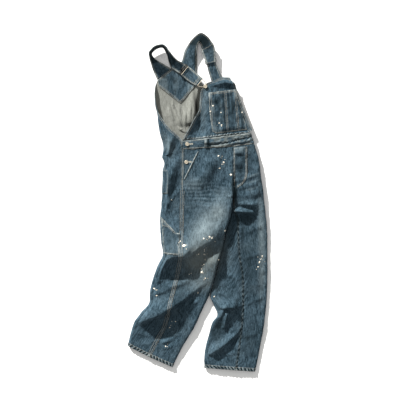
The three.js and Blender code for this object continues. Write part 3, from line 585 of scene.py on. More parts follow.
def legPanel(name, leg, setup):
    last = len(leg["rows"]) - 1
    at = np.linspace(0, last, setup["rows"])
    stops = stopsAt(setup["stops"], at)
    turns = []
    for k, count in enumerate(setup["columns"]):
        part = np.linspace(stops[:, k], stops[:, k + 1], count + 1, axis=1)
        turns.append(part if k == 0 else part[:, 1:])
    turn = np.concatenate(turns, axis=1)
    row = np.repeat(at[:, None], turn.shape[1], axis=1)
    p = legPoint(leg, row, turn)
    way = 1 if setup["stops"][2][-1] > setup["stops"][2][0] else -1
    n = gridNormals(p) * way
    along, across = runAlong(p, 0), runAlong(p, 1)
    fromSeam = across if setup["seamAt"] == "start" else across[:, -1:] - across
    toHem = along[-1:, :] - along
    up = soft(p[..., 2] / 9) * soft((n[..., 2] + 0.5) * 1.4)
    x, y = p[..., 0], p[..., 1]
    d = 1.4 * softNoise(x, y, 46, 21) + 0.8 * softNoise(x, y, 19, 22) + 0.35 * softNoise(x, y, 8, 23)
    pucker = np.sin(along / setup["pucker"] * 2 * math.pi + 2.2 * softNoise(along, across, 26, 31))
    uneven = 0.6 + 0.4 * softNoise(along, across, 40, 32)
    d = d + setup["puckerRise"] * pucker * np.exp(-fromSeam / 9) * uneven
    pastBand = fromSeam - setup["bandWide"]
    d = d + setup["band"] * (soft(-pastBand / 1.6) - 0.9 * bell(pastBand - 1.2, 1.5))
    rope = np.sin((across + 0.6 * toHem) / 15 * 2 * math.pi + 1.5 * softNoise(across, along, 20, 33))
    hem = soft((14 - toHem) / 2.5)
    d = d + hem * (0.9 + 0.9 * rope) - 0.9 * bell(toHem - 16, 2)
    p = p + n * (d * up)[..., None]
    p[..., 2] = np.maximum(p[..., 2], 0)
    kept = 6 if setup["roped"] else 4 * soft(row - 3)
    edge = np.minimum(np.abs(fromSeam - 0.6) + kept, toHem * 0.8 + 4)
    if setup["roped"]:
        deep = bell(fromSeam, 4.6) * (0.25 + 0.9 * soft(0.5 - 1.2 * pucker)) * soft(row - 4.6)
        rubbed = 0.4 * bell(fromSeam, 4) * soft(pucker)
    else:
        deep = 0.45 * bell(pastBand - 1.2, 1.6) * soft(row - 3.2)
        rubbed = 0
    deep = deep + hem * soft(0.55 - 1.2 * rope)
    marks = clothMarks(p, n, across, along, edge, deep)
    marks["wearAndHighlight"] = np.clip(marks["wearAndHighlight"] + 0.7 * hem * soft(rope) + rubbed, 0, 1)
    piece = makePiece(name, p, gridFaces(*turn.shape, flip=way < 0), [denim, insideCloth], name, marks=marks)
    thicken(piece, denimThick, inside=1)
    print(name, "panel made")
    return piece, p, n


frontRight = dict(
    rows=300, columns=[74, 46], seamAt="start",
    stops=[[0.5006, 0.8, 1], [0.5006, 0.92, 1.49], [0.5006, 1, 2.297]],
    pucker=15, puckerRise=0.5, band=0.7, bandWide=9, roped=False,
)
backRight = dict(
    rows=300, columns=[50, 34, 34], seamAt="start",
    stops=[[0.4994, 0, -1, -2], [0.4994, 0, -1, -2.49], [0.4994, 0, -1, -1.697]],
    pucker=15, puckerRise=0.5, band=0.7, bandWide=7, roped=False,
)
frontLeft = dict(
    rows=300, columns=[64, 30, 24], seamAt="start",
    stops=[[0, 1, 2, 2.247], [0.01, 1, 2, 2.397], [0.5006, 1, 2, 2.497]],
    pucker=20, puckerRise=1.6, band=0.5, bandWide=4, roped=True,
)
backLeft = dict(
    rows=300, columns=[24, 30, 50], seamAt="end",
    stops=[[2.253, 2.5, 2.75, 3], [2.403, 2.8, 3.4, 3.99], [2.503, 3, 4, 4.4994]],
    pucker=20, puckerRise=1.6, band=0.5, bandWide=4, roped=True,
)
frontRightPiece, frontRightGrid, frontRightNormals = legPanel("front_right", rightLeg, frontRight)
backRightPiece, backRightGrid, backRightNormals = legPanel("back_right", rightLeg, backRight)
frontLeftPiece, frontLeftGrid, frontLeftNormals = legPanel("front_left", leftLeg, frontLeft)
backLeftPiece, backLeftGrid, backLeftNormals = legPanel("back_left", leftLeg, backLeft)

# waistband
waist = dict(
    rows=[
        [-65.7, 262, 146, 286, 219, 297, 28, 28, 22, 0, 13, 0, 0],
        [-65.7, 243, 146, 260.5, 228, 272, 29, 29, 22, 0, 13, 0, 0],
        [-65.7, 224.4, 146, 235.4, 236, 247.4, 28, 28, 22, 0, 13, 0, 0],
    ],
    backAt=None, folds=[], foldEnds=False, pucker=19, puckerRise=1.5,
    crease=[[32, 242], [112, 250], [158, 263], [228, 277]],
)


def makeWaistband():
    at = np.linspace(0, 2, 34)
    turn = np.concatenate([np.linspace(0, 1, 240), np.linspace(1, 2, 40)[1:], np.linspace(2, 2.2, 16)[1:]])
    row, turns = np.meshgrid(at, turn, indexing="ij")
    p = legPoint(waist, row, turns)
    n = gridNormals(p)
    along, across = runAlong(p, 0), runAlong(p, 1)
    toEdge = np.minimum(along, along[-1:, :] - along)
    up = soft(p[..., 2] / 9)
    wave = 0.6 * np.sin(across / waist["pucker"] * 2 * math.pi + 6 * softNoise(across, along, 30, 41))
    wave = wave + 0.7 * softNoise(across, along, 26, 46)
    d = 0.9 * softNoise(p[..., 0], p[..., 1], 30, 42) + 0.5 * softNoise(p[..., 0], p[..., 1], 9, 43)
    d = d + waist["puckerRise"] * wave * np.exp(-along / 8)
    d = d + 0.6 * wave * np.exp(-(along[-1:, :] - along) / 6)
    d = d - 2.2 * bell(toEdge, 2.2) + 1.4
    # a crushed, wandering crease runs along the band toward the left hip
    line = np.array(waist["crease"], float)
    away = p[..., 1] - np.interp(p[..., 0], line[:, 0], line[:, 1]) + 3 * wave
    run = soft((p[..., 0] - 20) / 30)
    banks = 2.0 * bell(away + 8, 5) + 1.4 * bell(away - 9, 5)
    d = d + run * (banks - 3.4 * bell(away, 2.4))
    d = d + run * 1.8 * softNoise(across * 0.4, along * 1.4, 10, 44)
    p = p + n * (d * up)[..., None]
    p[..., 2] = np.maximum(p[..., 2], 0)
    # painted shade in the dips of the puckered seam along the band's top edge and down the crease toward the
    # left hip
    deep = 0.8 * bell(along, 2.4) * soft(0.6 - 0.8 * wave) + 0.8 * run * bell(away, 2.2)
    marks = clothMarks(p, n, along, across, toEdge - 3, deep)
    ridge = bell(away + 8, 4) + 0.6 * bell(away - 8, 4)
    rubbed = 0.6 * run * ridge * soft(0.6 + softNoise(across, along, 9, 45))
    marks["wearAndHighlight"] = np.clip(marks["wearAndHighlight"] + rubbed, 0, 1)
    marks["grime"] = np.clip(marks["grime"] + 0.6 * run * soft(0.5 + softNoise(across, along, 14, 47)), 0, 1)
    piece = makePiece("waistband", p, gridFaces(*row.shape), [denim, insideCloth], "waistband", marks=marks)
    thicken(piece, denimThick, inside=1)
    print("waistband made")
    return piece


waistPiece = makeWaistband()

# bib
# armhole edge x y z, hollow beside it x y z, pocket line x y z, right edge x y z
bib = dict(
    fine=164, corner=14, stops=[0, 0.14, 0.32, 1],
    rows=[
        [-64, 262.7, 28, 5, 270, 25, 50, 275.6, 27, 204, 295.8, 22],
        [-54, 286, 30, 8, 296, 14, 52, 300, 25, 225, 306, 20],
        [-37, 316, 29, 5, 325, 10, 53, 328, 23, 216, 332, 20],
        [-20, 350, 25, 2, 357, 11, 48, 358, 23, 205, 360, 19],
        [2, 388, 17, 9, 392, 17, 46, 395, 22, 190, 398, 19],
        [7, 434, 16, 14, 434, 17, 45, 430, 21, 176, 436, 18],
        [9, 464, 16, 17, 464, 17, 43, 463, 19, 163, 473, 18],
        [19, 487, 16, 30, 489, 16, 60, 494, 18, 154, 503, 18],
        [38, 506, 17, 58, 512, 17, 98, 529, 18, 141, 528, 18],
    ],
    folds=[
        [[(60, 290, -3), (200, 310, -3)], 10, 12],
        [[(72, 497, 4), (110, 505, 10), (146, 501, 11)], 18, 7],
        [[(80, 440, 3), (100, 400, -3), (96, 350, 3)], 14, 10],
        [[(150, 440, 3), (140, 380, 3)], 12, 9],
    ],
    pucker=14, puckerRise=2.2,
)


def makeBib():
    at = np.linspace(0, 8, bib["fine"])
    stops = bib["stops"]
    row, side = np.meshgrid(at, np.linspace(0, 1, bib["fine"]), indexing="ij")
    c = rowsAt(bib["rows"], row)
    p = c[..., 0:3]
    for k in range(3):
        t = np.clip((side - stops[k]) / (stops[k + 1] - stops[k]), 0, 1)
        inner = side >= stops[k]
        a, b = c[..., 3 * k:3 * k + 3], c[..., 3 * k + 3:3 * k + 6]
        flat = mix(a, b, t[..., None])
        flat[..., 2] = mix(a[..., 2], b[..., 2], soft(t))
        p = np.where(inner[..., None], flat, p)
    # the top corner is rounded off
    p[..., 1] -= bib["corner"] * soft((at[:, None] - 6.6) / 1.4) * soft((side - 0.8) / 0.2) ** 2
    p[..., 2] += foldRise(bib["folds"], p[..., 0], p[..., 1]) * soft(row / 0.8)
    n = -gridNormals(p)
    along, across = runAlong(p, 0), runAlong(p, 1)
    toSide = np.minimum(across, across[:, -1:] - across)
    toTop = along[-1:, :] - along
    wave = np.sin(across / bib["pucker"] * 2 * math.pi + 3 * softNoise(across, along, 24, 51))
    d = 1.3 * softNoise(p[..., 0], p[..., 1], 34, 52) + 0.8 * softNoise(p[..., 0], p[..., 1], 13, 53)
    d = d + bib["puckerRise"] * wave * np.exp(-along / 9) - 2.2 * bell(along, 2.4)
    d = d + 2.4 * softNoise(across * 0.4, along * 1.3, 10, 54) * np.exp(-along / 16) * soft(along / 3)
    edge = np.minimum(toSide, toTop)
    d = d + 0.6 * soft((9 - edge) / 1.5) - 0.6 * bell(edge - 9.5, 1.2)
    p = p + n * d[..., None]
    # painted shade in the dips of the puckered seam at the bib's bottom edge and along a line just above it
    deep = 0.9 * bell(along, 2.6) * soft(0.6 + 0.8 * wave)
    deep = deep + 0.5 * bell(along - 11, 2) * soft(0.3 - wave)
    marks = clothMarks(p, n, across, along, np.minimum(edge, along + 2), deep)
    rubbed = 0.6 * bell(along - 6.5, 2.5) * soft(0.6 + 0.6 * wave)
    marks["wearAndHighlight"] = np.clip(marks["wearAndHighlight"] + rubbed, 0, 1)
    piece = makePiece("bib", p, gridFaces(*row.shape, flip=True), [denim, insideCloth], "bib", marks=marks)
    thicken(piece, denimThick, inside=1)
    print("bib made")
    return piece


bibPiece = makeBib()

# upper back, inside showing
# left edge x y, centre-back x y, right edge x y, rounding, degrees turned, length over the top, slant
upperBack = dict(
    rows=[
        [-152.1, 194.7, -30, 228.7, 159, 242.7, 10, 180, 78, 19.2],
        [-147, 228, -40, 262, 147, 285, 10, 180, 70.5, 12.5],
        [-151, 257, -46, 290, 151, 315, 10, 180, 73.5, 4.7],
        [-160, 290, -52, 308, 150, 335, 10, 180, 54, 3.5],
        [-165, 316, -57, 330, 138, 362, 10, 180, 33, 0],
        [-170, 352, -63, 365, 110, 400, 9, 180, 12, 0],
        [-174, 381, -68, 395, 84, 432, 9, 160, 1, 0],
        [-181, 412, -74, 421, 60, 460, 10, 140, 1, 0],
        [-184, 445, -80, 455, 38, 482, 10, 125, 1, 0],
        [-183, 480, -89, 495, 18, 500, 9, 110, 1, 0],
        [-178, 508, -98, 540, 4, 513, 6, 20, 1, 20],
        [-174, 521, -108, 574, -8, 526, 6, 8, 1, 38.8],
    ],
    creases=[
        [[(-110, 436, 0), (-106, 415, 4), (-102, 396, 0)], 5, 3],
        [[(-102, 398, 2), (-92, 370, 6), (-80, 342, 6), (-68, 312, 2)], 10, 3],
        [[(-88, 324, 0), (-74, 309, 5), (-54, 298, 2)], 7, 3],
        [[(-84, 420, 0), (-80, 395, 4), (-74, 350, 4), (-66, 320, 0)], 11, 5],
        [[(-58, 410, 0), (-54, 370, 5), (-55, 330, 3), (-56, 300, 0)], 10, 4],
        [[(-132, 402, 0), (-118, 370, 4), (-98, 332, 1)], 14, 6],
        [[(-36, 432, 0), (-32, 392, 5), (-34, 350, 2)], 9, 4],
        [[(-122, 420, 0), (-118, 395, 3), (-104, 352, 2)], 8, 4],
        [[(-2, 480, 7), (-11, 434, 11), (-18, 380, 12), (-24, 345, 9)], 36, 6],
    ],
    # dark marks on the inside: the long strip beside the bib's armhole edge is painted shade, while the
    # small spot and the faint wide patch darken the cloth; columns as for the patches above
    shadeAndSpotMarks=[[-35, 323, 7, 10, 15, 1.0], [-8, 400, 8, 70, 8, 1.0], [-110, 400, 40, 60, 0, 0.08]],
)


def backPanel(name, half):
    at = np.linspace(0, 11, 190)
    c = rowsAt(upperBack["rows"], at)
    lx, ly, cx, cy, rx, ry, radius, degrees, lying, slant = (c[:, k][:, None] for k in range(10))
    dx, dy = np.cos(np.radians(slant)), np.sin(np.radians(slant))
    footX, footY = lx + dx * radius, ly + dy * radius
    if half == "left":
        t = np.linspace(0, 1, 70)[None, :]
        x, y = mix(cx + 0.15, rx, t), mix(cy, ry, t)
        z = np.zeros_like(x)
    else:
        t = np.linspace(0, 1, 60)[None, :]
        flatX, flatY = mix(cx - 0.15, footX, t), mix(cy, footY, t)
        arc = np.radians(degrees) * radius
        s = (arc + lying) * np.linspace(0, 1, 71)[None, 1:]
        a = np.minimum(s, arc) / radius
        over = np.maximum(0, s - arc)
        out = radius * np.sin(a) + over * np.cos(a)
        turnedZ = radius * (1 - np.cos(a)) + over * np.sin(a) + over * 0.1
        turnedX, turnedY = footX - dx * out, footY - dy * out
        folded = soft((over - 4) / 16) * soft((arc + lying - s) / 20)
        turnedZ = turnedZ + foldRise(mainFolds, turnedX, turnedY) * folded
        x, y = np.concatenate([flatX, turnedX], 1), np.concatenate([flatY, turnedY], 1)
        z = np.concatenate([np.zeros_like(flatX), turnedZ], 1)
    p = np.stack([x, y, z], axis=-1)
    n = gridNormals(p)
    n = n if n[5, 5, 2] < 0 else -n
    along, across = runAlong(p, 0), runAlong(p, 1)
    lift = np.maximum(0, foldRise(upperBack["creases"], x, y) + 0.8 * softNoise(x, y, 26, 61))
    lift = lift * soft((26 - z) / 10) * soft(along / 12) * soft((along[-1:, :] - along) / 60)
    floorPart = soft((2 - z) / 2)
    p[..., 2] += lift * floorPart
    bulge = (0.9 * softNoise(x, y, 28, 62) + 0.4 * softNoise(x, y, 10, 63)) * soft((z - 6) / 6)
    p = p + n * bulge[..., None]
    edge = np.minimum(across[:, -1:] - across, along[-1:, :] - along + 20)
    # painted shade beside the bib's edge, with a dark spot and a faint patch, on the part lying on the floor
    shadeAndSpots = patchSum(upperBack["shadeAndSpotMarks"], x, y) * floorPart
    marks = clothMarks(p, n, across, along, edge if half == "right" else edge + 30, shadeAndSpots)
    flip = (np.cross(p[6, 5] - p[5, 5], p[5, 6] - p[5, 5])[2] > 0)
    cloths = [denim, insideCloth, denim, denim]
    piece = makePiece(name, p, gridFaces(*x.shape, flip=flip), cloths, name, marks=marks)
    thicken(piece, denimThick, inside=1)
    edgeRows = int(np.argmin(np.abs(along[-1, 5] - along[:, 5] - 11)))
    for face in piece.data.polygons:
        if min(face.vertices) >= edgeRows * x.shape[1] and max(face.vertices) < x.size:
            face.material_index = 2
    print(name, "made")
    return piece, p


upperRightPiece, upperRightGrid = backPanel("upper_back_right", "right")
upperLeftPiece, _ = backPanel("upper_back_left", "left")


# pieces lying on a panel: filled outline, dropped onto the cloth below
def outlineLine(corners, spacing):
    line = []
    for (x0, y0), (x1, y1) in zip(corners, corners[1:] + corners[:1]):
        steps = max(1, int(math.hypot(x1 - x0, y1 - y0) / spacing))
        line += [(mix(x0, x1, k / steps), mix(y0, y1, k / steps)) for k in range(steps)]
    return line


def inset(line, by):
    points = np.array(line)
    area = 0.5 * np.sum(points[:, 0] * np.roll(points[:, 1], -1) - np.roll(points[:, 0], -1) * points[:, 1])
    tangent = np.roll(points, -1, 0) - np.roll(points, 1, 0)
    tangent = tangent / np.maximum(np.linalg.norm(tangent, axis=1, keepdims=True), 1e-6)
    inward = np.stack([-tangent[:, 1], tangent[:, 0]], 1) * (1 if area > 0 else -1)
    return [tuple(q) for q in points + inward * by]


def insideOf(line, x, y):
    odd = False
    for (x0, y0), (x1, y1) in zip(line, line[1:] + line[:1]):
        if (y0 > y) != (y1 > y) and x < x0 + (y - y0) / (y1 - y0) * (x1 - x0):
            odd = not odd
    return odd


def edgeDistance(line, x, y):
    best = np.full_like(x, 1e9)
    for (x0, y0), (x1, y1) in zip(line, line[1:] + line[:1]):
        run = max((x1 - x0) ** 2 + (y1 - y0) ** 2, 1e-9)
        t = np.clip(((x - x0) * (x1 - x0) + (y - y0) * (y1 - y0)) / run, 0, 1)
        best = np.minimum(best, np.hypot(x - x0 - t * (x1 - x0), y - y0 - t * (y1 - y0)))
    return best


def sewnPatch(name, cover, setup):
    spacing = setup.get("spacing", 4)
    line = outlineLine(setup["corners"], spacing)
    rim = inset(line, rimWide)
    points = [Vector(q) for q in line] + [Vector(q) for q in rim]
    count = len(line)
    edges = [(k, (k + 1) % count) for k in range(count)]
    edges += [(count + k, count + (k + 1) % count) for k in range(count)]
    xs, ys = [q[0] for q in line], [q[1] for q in line]
    inner = inset(line, rimWide + spacing * 0.6)
    for gx in np.arange(min(xs), max(xs), spacing):
        for gy in np.arange(min(ys), max(ys), spacing):
            if insideOf(inner, gx, gy):
                points.append(Vector((gx, gy)))
    made = geometry.delaunay_2d_cdt(points, edges, [list(range(count))], 1, 1e-4)
    flat, faces = made[0], made[2]
    x, y = np.array([q.x for q in flat]), np.array([q.y for q in flat])
    z = np.zeros_like(x)
    good = np.ones(len(flat), bool)
    for k in range(len(flat)):
        for aside in (0, 0.7, -0.7):
            high, _ = dropOn(cover, x[k] + aside, y[k])
            if high is not None:
                break
        if high is None:
            good[k] = False
        else:
            z[k] = high
    edge = edgeDistance(line, x, y)
    onRim = edge < 0.4
    lift = np.where(onRim, 0.1, gap + setup.get("thick", denimThick))
    if "shape" in setup:
        lift = lift + np.where(onRim, 0, setup["shape"](x, y, edge))
    z = z + lift
    keep = [list(f) for f in faces if all(good[k] for k in f)]
    p = np.stack([x, y, z], 1)
    up = np.tile([0.0, 0.0, 1.0], (len(x), 1))
    marks = clothMarks(p, up, x, y, edge - 0.8)
    marks["wearAndHighlight"] = np.clip(marks["wearAndHighlight"] * setup.get("edgeWear", 1) + setup.get("worn", 0), 0, 1)
    if "streaks" in setup:
        run = softNoise(x + 0.08 * y, y * 0.12, setup["streaks"], 76)
        marks["fadeAndHighlight"] = np.clip(marks["fadeAndHighlight"] + 0.6 * np.maximum(0, run - 0.15), 0, 1)
        marks["deep"] = np.clip(marks["deep"] + 0.9 * np.maximum(0, -run - 0.1), 0, 1)
    keep = [f if np.cross(p[f[1]] - p[f[0]], p[f[2]] - p[f[0]])[2] > 0 else f[::-1] for f in keep]
    piece = makePiece(name, p, keep, [denim, insideCloth], name, marks)
    print(name, "laid on")
    return piece


# sewn lines down the bib pocket: top x y, bottom x y
bibPocketLines = [
    [54, 460, 60, 322], [110, 466, 120, 300], [116, 467, 126, 301],
    [152, 472, 166, 306], [158, 470, 172, 307],
]


def bibPocketShape(x, y, edge):
    d = 2.2 * softNoise(x, y, 26, 71) + 1.1 * softNoise(x, y, 11, 72) + 1.6 * soft(edge / 14)
    for x0, y0, x1, y1 in bibPocketLines:
        at = x0 + (y - y0) / (y1 - y0) * (x1 - x0)
        d = d - 0.9 * bell(x - at, 2.0)
    return d


# the slanted mouth of the tool pocket gapes
def toolPocketShape(x, y, edge):
    away = np.abs((x + 155) * 66 + (y + 58) * 63) / math.hypot(66, 63)
    return 1.6 * softNoise(x, y, 26, 76) + 1.0 * soft(edge / 16) + 4.5 * np.exp(-away / 8)


# the fly is crushed into three soft waves
flyFolds = [
    [[(152, 211, 4), (176, 208, 5), (194, 206, 2)], 18, 6],
    [[(152, 166, 2), (172, 160, 4), (190, 150, 2)], 20, 9],
    [[(160, 112, 1.5), (184, 118, 2)], 14, 8],
]


def flyShape(x, y, edge):
    return foldRise(flyFolds, x, y) + 2.0 * softNoise(x, y, 19, 74) + 1.1 * softNoise(x, y, 8, 75)


bibCover = coverOf([bibPiece])
frontCover = coverOf([frontRightPiece, frontLeftPiece, backRightPiece, backLeftPiece])
waistCover = coverOf([waistPiece])
bibPocketCut = dict(
    corners=[(43.5, 464), (158, 477.5), (207, 308), (75, 291), (60, 300), (56, 316), (47, 384)],
    shape=bibPocketShape, edgeWear=1.3, streaks=7,
)
weltCut = dict(
    corners=[(-4, 216), (2, 216.5), (-55.5, 99), (-61.5, 99)],
    spacing=2, edgeWear=1.6, worn=0.1, slot="denim_trim",
)
flyCurve = [(206, 125), (204, 110), (198, 96), (190, 84), (181, 75), (164, 64)]
flyCut = dict(corners=[(149, 232), (205, 238), *flyCurve, (149, 61)], shape=flyShape, edgeWear=1.1)
toolPocketCut = dict(
    corners=[(-155, -58), (-92, -124), (-76, -126), (-79, -217), (-145, -211), (-150, -150)],
    shape=toolPocketShape, edgeWear=1.5,
)
bibPocket = sewnPatch("bib_pocket", bibCover, bibPocketCut)
welt = sewnPatch("pocket_welt", frontCover, weltCut)
flyPiece = sewnPatch("fly", frontCover, flyCut)
toolPocket = sewnPatch("tool_pocket", frontCover, toolPocketCut)

beltLoop = dict(left=27, right=43, low=231, high=270, rise=5)


# the loop is sewn down at both ends and stands off the band between them
def makeBeltLoop(setup):
    t, side = np.meshgrid(np.linspace(0, 1, 40), np.linspace(0, 1, 16), indexing="ij")
    x, y = mix(setup["left"], setup["right"], side), mix(setup["low"], setup["high"], t)
    z = np.zeros_like(x)
    for k in np.ndindex(x.shape):
        z[k] = dropOn(waistCover, x[k], np.clip(y[k], 232, 266))[0]
    z = z.max(axis=1, keepdims=True) + gap + denimThick + setup["rise"] * np.sin(math.pi * t)
    z = z + 0.4 * softNoise(x, y, 7, 73)
    p = np.stack([x, y, z], axis=-1)
    n = np.tile([0.0, 0.0, 1.0], (*x.shape, 1))
    across, along = runAlong(p, 1), runAlong(p, 0)
    toSide = np.minimum(across, across[:, -1:] - across)
    # painted shade on the loop's right half, and a painted highlight over its left part on top of its worn
    # edges
    marks = clothMarks(p, n, across, along, toSide - 1, 0.9 * soft((across - 7) / 5))
    marks["wearAndHighlight"] = np.clip((1.4 * marks["wearAndHighlight"] + 0.35) * soft((12 - across) / 5), 0, 1)
    faces = gridFaces(*x.shape, flip=True)
    piece = makePiece("belt_loop", p, faces, [denim, insideCloth], "belt_loop", marks)
    thicken(piece, denimThick, inside=1)
    print("belt loop made")
    return piece


loopPiece = makeBeltLoop(beltLoop)


def facingShape(x, y, edge):
    return 1.2 * softNoise(x, y, 30, 77) + 0.8 * softNoise(x, y, 12, 78) + 1.2


facingCut = dict(
    corners=[(-172, 519.5), (-111.5, 570), (-14, 517), (-12, 492), (-75, 419), (-166, 491)],
    thick=denimThick * 2, edgeWear=1.8, streaks=12, shape=facingShape,
)
insideCover = coverOf([upperRightPiece, upperLeftPiece])
facingPiece = sewnPatch("back_facing", insideCover, facingCut)

# back pocket round the left edge
backPocket = dict(rows=[2.0, 4.05], turns=[0.07, -0.5], lift=1.9)


def makeBackPocket():
    at = np.linspace(*backPocket["rows"], 60)
    turn = np.linspace(*backPocket["turns"], 50)
    row, turns = np.meshgrid(at, turn, indexing="ij")
    p = legPoint(rightLeg, row, turns)
    n = -gridNormals(p)
    along, across = runAlong(p, 0), runAlong(p, 1)
    toSide = np.minimum(across, across[:, -1:] - across)
    edge = np.minimum(toSide, np.minimum(along, along[-1:, :] - along))
    d = backPocket["lift"] * soft(edge / 1.5) + 0.6 * softNoise(p[..., 0], p[..., 1], 18, 79)
    p = p + n * d[..., None]
    p[..., 2] = np.maximum(p[..., 2], 0.5)
    marks = clothMarks(p, n, across, along, edge - 1)
    return makePiece("back_pocket", p, gridFaces(*row.shape, flip=True), [denim], "back_pocket", marks=marks)


backPocketPiece = makeBackPocket()


# straps: upper edge x y z, lower edge x y z
rightStrap = dict(rows=[
    [-173.4, 522.2, 1.4, -116.5, 568.2, 1.4],
    [-190, 560, 6, -143, 584, 1.4],
    [-202, 603, 34, -180, 606, 3],
    [-205, 627, 46, -194, 625, 6],
    [-197, 641, 48, -191, 635, 8],
    [-178, 656, 48, -175, 648, 9],
    [-152, 662, 48, -153, 654, 9],
    [-135, 653, 48, -142, 645, 9],
    [-122, 634, 48, -130, 620, 9],
    [-106, 616, 42, -125, 598, 9],
    [-86, 599, 26, -114, 570, 9],
    [-64, 589, 12, -96, 558, 9],
    [-31, 567, 11, -62, 531, 9],
    [-7, 546, 13, -38, 510, 11],
    [19, 523, 17, -8, 493, 14],
])
leftStrap = dict(rows=[
    [-98, 571, 1.6, -9, 527.8, 1.6],
    [-70, 597, 1.6, -6, 570, 2.2],
    [-57, 641, 2, -5, 619, 10],
    [-38, 673, 4, -4, 650, 16],
    [-14, 700, 9, 0, 668, 19],
    [12, 714, 20, 4.5, 674, 17],
    [39, 698, 24, 10, 668, 12],
    [59, 671, 21, 17, 646, 10],
    [68, 644, 15, 21, 629, 12],
    [72, 593, 12.5, 36, 583, 12],
    [83, 567, 11, 43, 555, 11],
    [98, 530, 9, 55, 515, 8],
    [104, 510, 8, 61, 495, 8],
])


def strapGrid(rows, start, end, fine, columns):
    at = np.linspace(start, end, fine)
    c = rowsAt(rows, at)
    t = np.linspace(0, 1, columns)[None, :, None]
    p = mix(c[:, None, 0:3], c[:, None, 3:6], t)
    n = -gridNormals(p)
    return p, n


def makeStrap(name, setup):
    p, n = strapGrid(setup["table"], *setup["span"], setup["rows"], 34)
    middle = p.mean(axis=1, keepdims=True)
    p = middle + (p - middle) * setup.get("wider", 1)
    along, across = runAlong(p, 0), runAlong(p, 1)
    toSide = np.minimum(across, across[:, -1:] - across)
    d = 0.7 * softNoise(along, across, 22, setup["seed"])
    d = d + 0.4 * softNoise(along, across, 8, setup["seed"] + 1)
    d = d - 0.5 * bell(toSide - 5, 1.2) - 0.6 * bell(toSide, 1.0)
    d = d + setup["lift"]
    if "slot" in setup:
        # the band humps over the middle bar of the slider and dives at its slot
        near = np.argmin(np.hypot(p[:, 17, 0] - setup["slot"][0], p[:, 17, 1] - setup["slot"][1]))
        s = along - along[near:near + 1, :]
        d = d + 2.4 * bell(s + 3, 5) - 2.2 * bell(s - 4.5, 2.2)
    p = p + n * (d * soft(p[..., 2] / 1.5))[..., None]
    half = setup["thick"] / 2
    p[..., 2] = np.maximum(p[..., 2], half)
    # where the band stands on edge its face gets painted shade, and only its rim keeps its pale worn edge
    standingShade = soft((p[:, :1, 2] - p[:, -1:, 2] - 14) / 9) * (1 - bell(toSide, 2.2))
    marks = clothMarks(p, np.abs(n), across, along, toSide - 1, 0.85 * standingShade)
    pale = marks["wearAndHighlight"] * setup["edgeWear"] + 0.7 * bell(toSide - 4.5, 1.5)
    for back in setup.get("bars", ()):
        pale = pale + 0.9 * bell(along[-1:, :] - along - back, 1.4)
    marks["wearAndHighlight"] = np.clip(pale * (1 - 0.8 * standingShade), 0, 1)
    piece = makePiece(name, p, gridFaces(p.shape[0], p.shape[1], flip=True), [denim], name, marks=marks)
    thicken(piece, setup["thick"], offset=0)
    print(name, "made")
    return piece, p, n


rightBand = dict(
    table=rightStrap["rows"], span=(0, 14), rows=260, thick=strapThick, lift=0, seed=81, edgeWear=1.7,
    slot=(-62, 560), bars=(8, 15),
)
leftBand = dict(
    table=leftStrap["rows"], span=(0, 12), rows=230, thick=strapThick, lift=0, seed=85, edgeWear=0.5,
)
turnedEnd = dict(
    table=leftStrap["rows"], span=(7, 9), rows=60, thick=denimThick, lift=5.8, seed=89,
    edgeWear=1.6, wider=1.1,
)
strapRightPiece, strapRightGrid, strapRightNormals = makeStrap("strap_right", rightBand)
strapLeftPiece, strapLeftGrid, strapLeftNormals = makeStrap("strap_left", leftBand)
strapEndPiece, strapEndGrid, strapEndNormals = makeStrap("strap_left_end", turnedEnd)

# stitching
stitch = dict(length=3.2, space=1.2, wide=1.3, high=0.6, off=0.05)
stitchPoints, stitchFaces = [], []


def addStitch(a, b, normal):
    a, b = np.array(a), np.array(b)
    along = (b - a) / max(np.linalg.norm(b - a), 1e-6)
    up = np.array(normal) - along * np.dot(normal, along)
    up = up / max(np.linalg.norm(up), 1e-6)
    side = np.cross(along, up) * stitch["wide"] / 2
    lift = up * stitch["high"]
    base = len(stitchPoints)
    for t, rise in ((0, 0.1), (0.3, 1), (0.7, 1), (1, 0.1)):
        q = mix(a, b, t)
        stitchPoints.extend([q - side * 0.9, q + lift * rise, q + side * 0.9])
    for k in range(3):
        s = base + k * 3
        stitchFaces.extend([[s, s + 3, s + 4, s + 1], [s + 1, s + 4, s + 5, s + 2]])


# runs stitches along points that lie on the cloth, with the cloth's directions there
def stitchPath(points, normals):
    points, normals = np.asarray(points), np.asarray(normals)
    run = np.concatenate([[0], np.cumsum(np.linalg.norm(np.diff(points, axis=0), axis=1))])
    s = 0.0
    while s + stitch["length"] < run[-1]:
        a = [np.interp(s, run, points[:, k]) for k in range(3)]
        b = [np.interp(s + stitch["length"], run, points[:, k]) for k in range(3)]
        n = [np.interp(s, run, normals[:, k]) for k in range(3)]
        addStitch(a, b, n)
        s += stitch["length"] + stitch["space"]


def stitchOver(line, cover, offset):
    points, normals = [], []
    for (x0, y0), (x1, y1) in zip(line, line[1:]):
        steps = max(2, int(math.hypot(x1 - x0, y1 - y0) / 2.5))
        dx, dy = x1 - x0, y1 - y0
        size = math.hypot(dx, dy)
        for k in range(steps):
            x = mix(x0, x1, k / steps) - dy / size * offset
            y = mix(y0, y1, k / steps) + dx / size * offset
            z, n = dropOn(cover, x, y)
            if z is not None:
                points.append((x, y, z + stitch["off"]))
                normals.append(tuple(n))
    if len(points) > 2:
        stitchPath(points, normals)


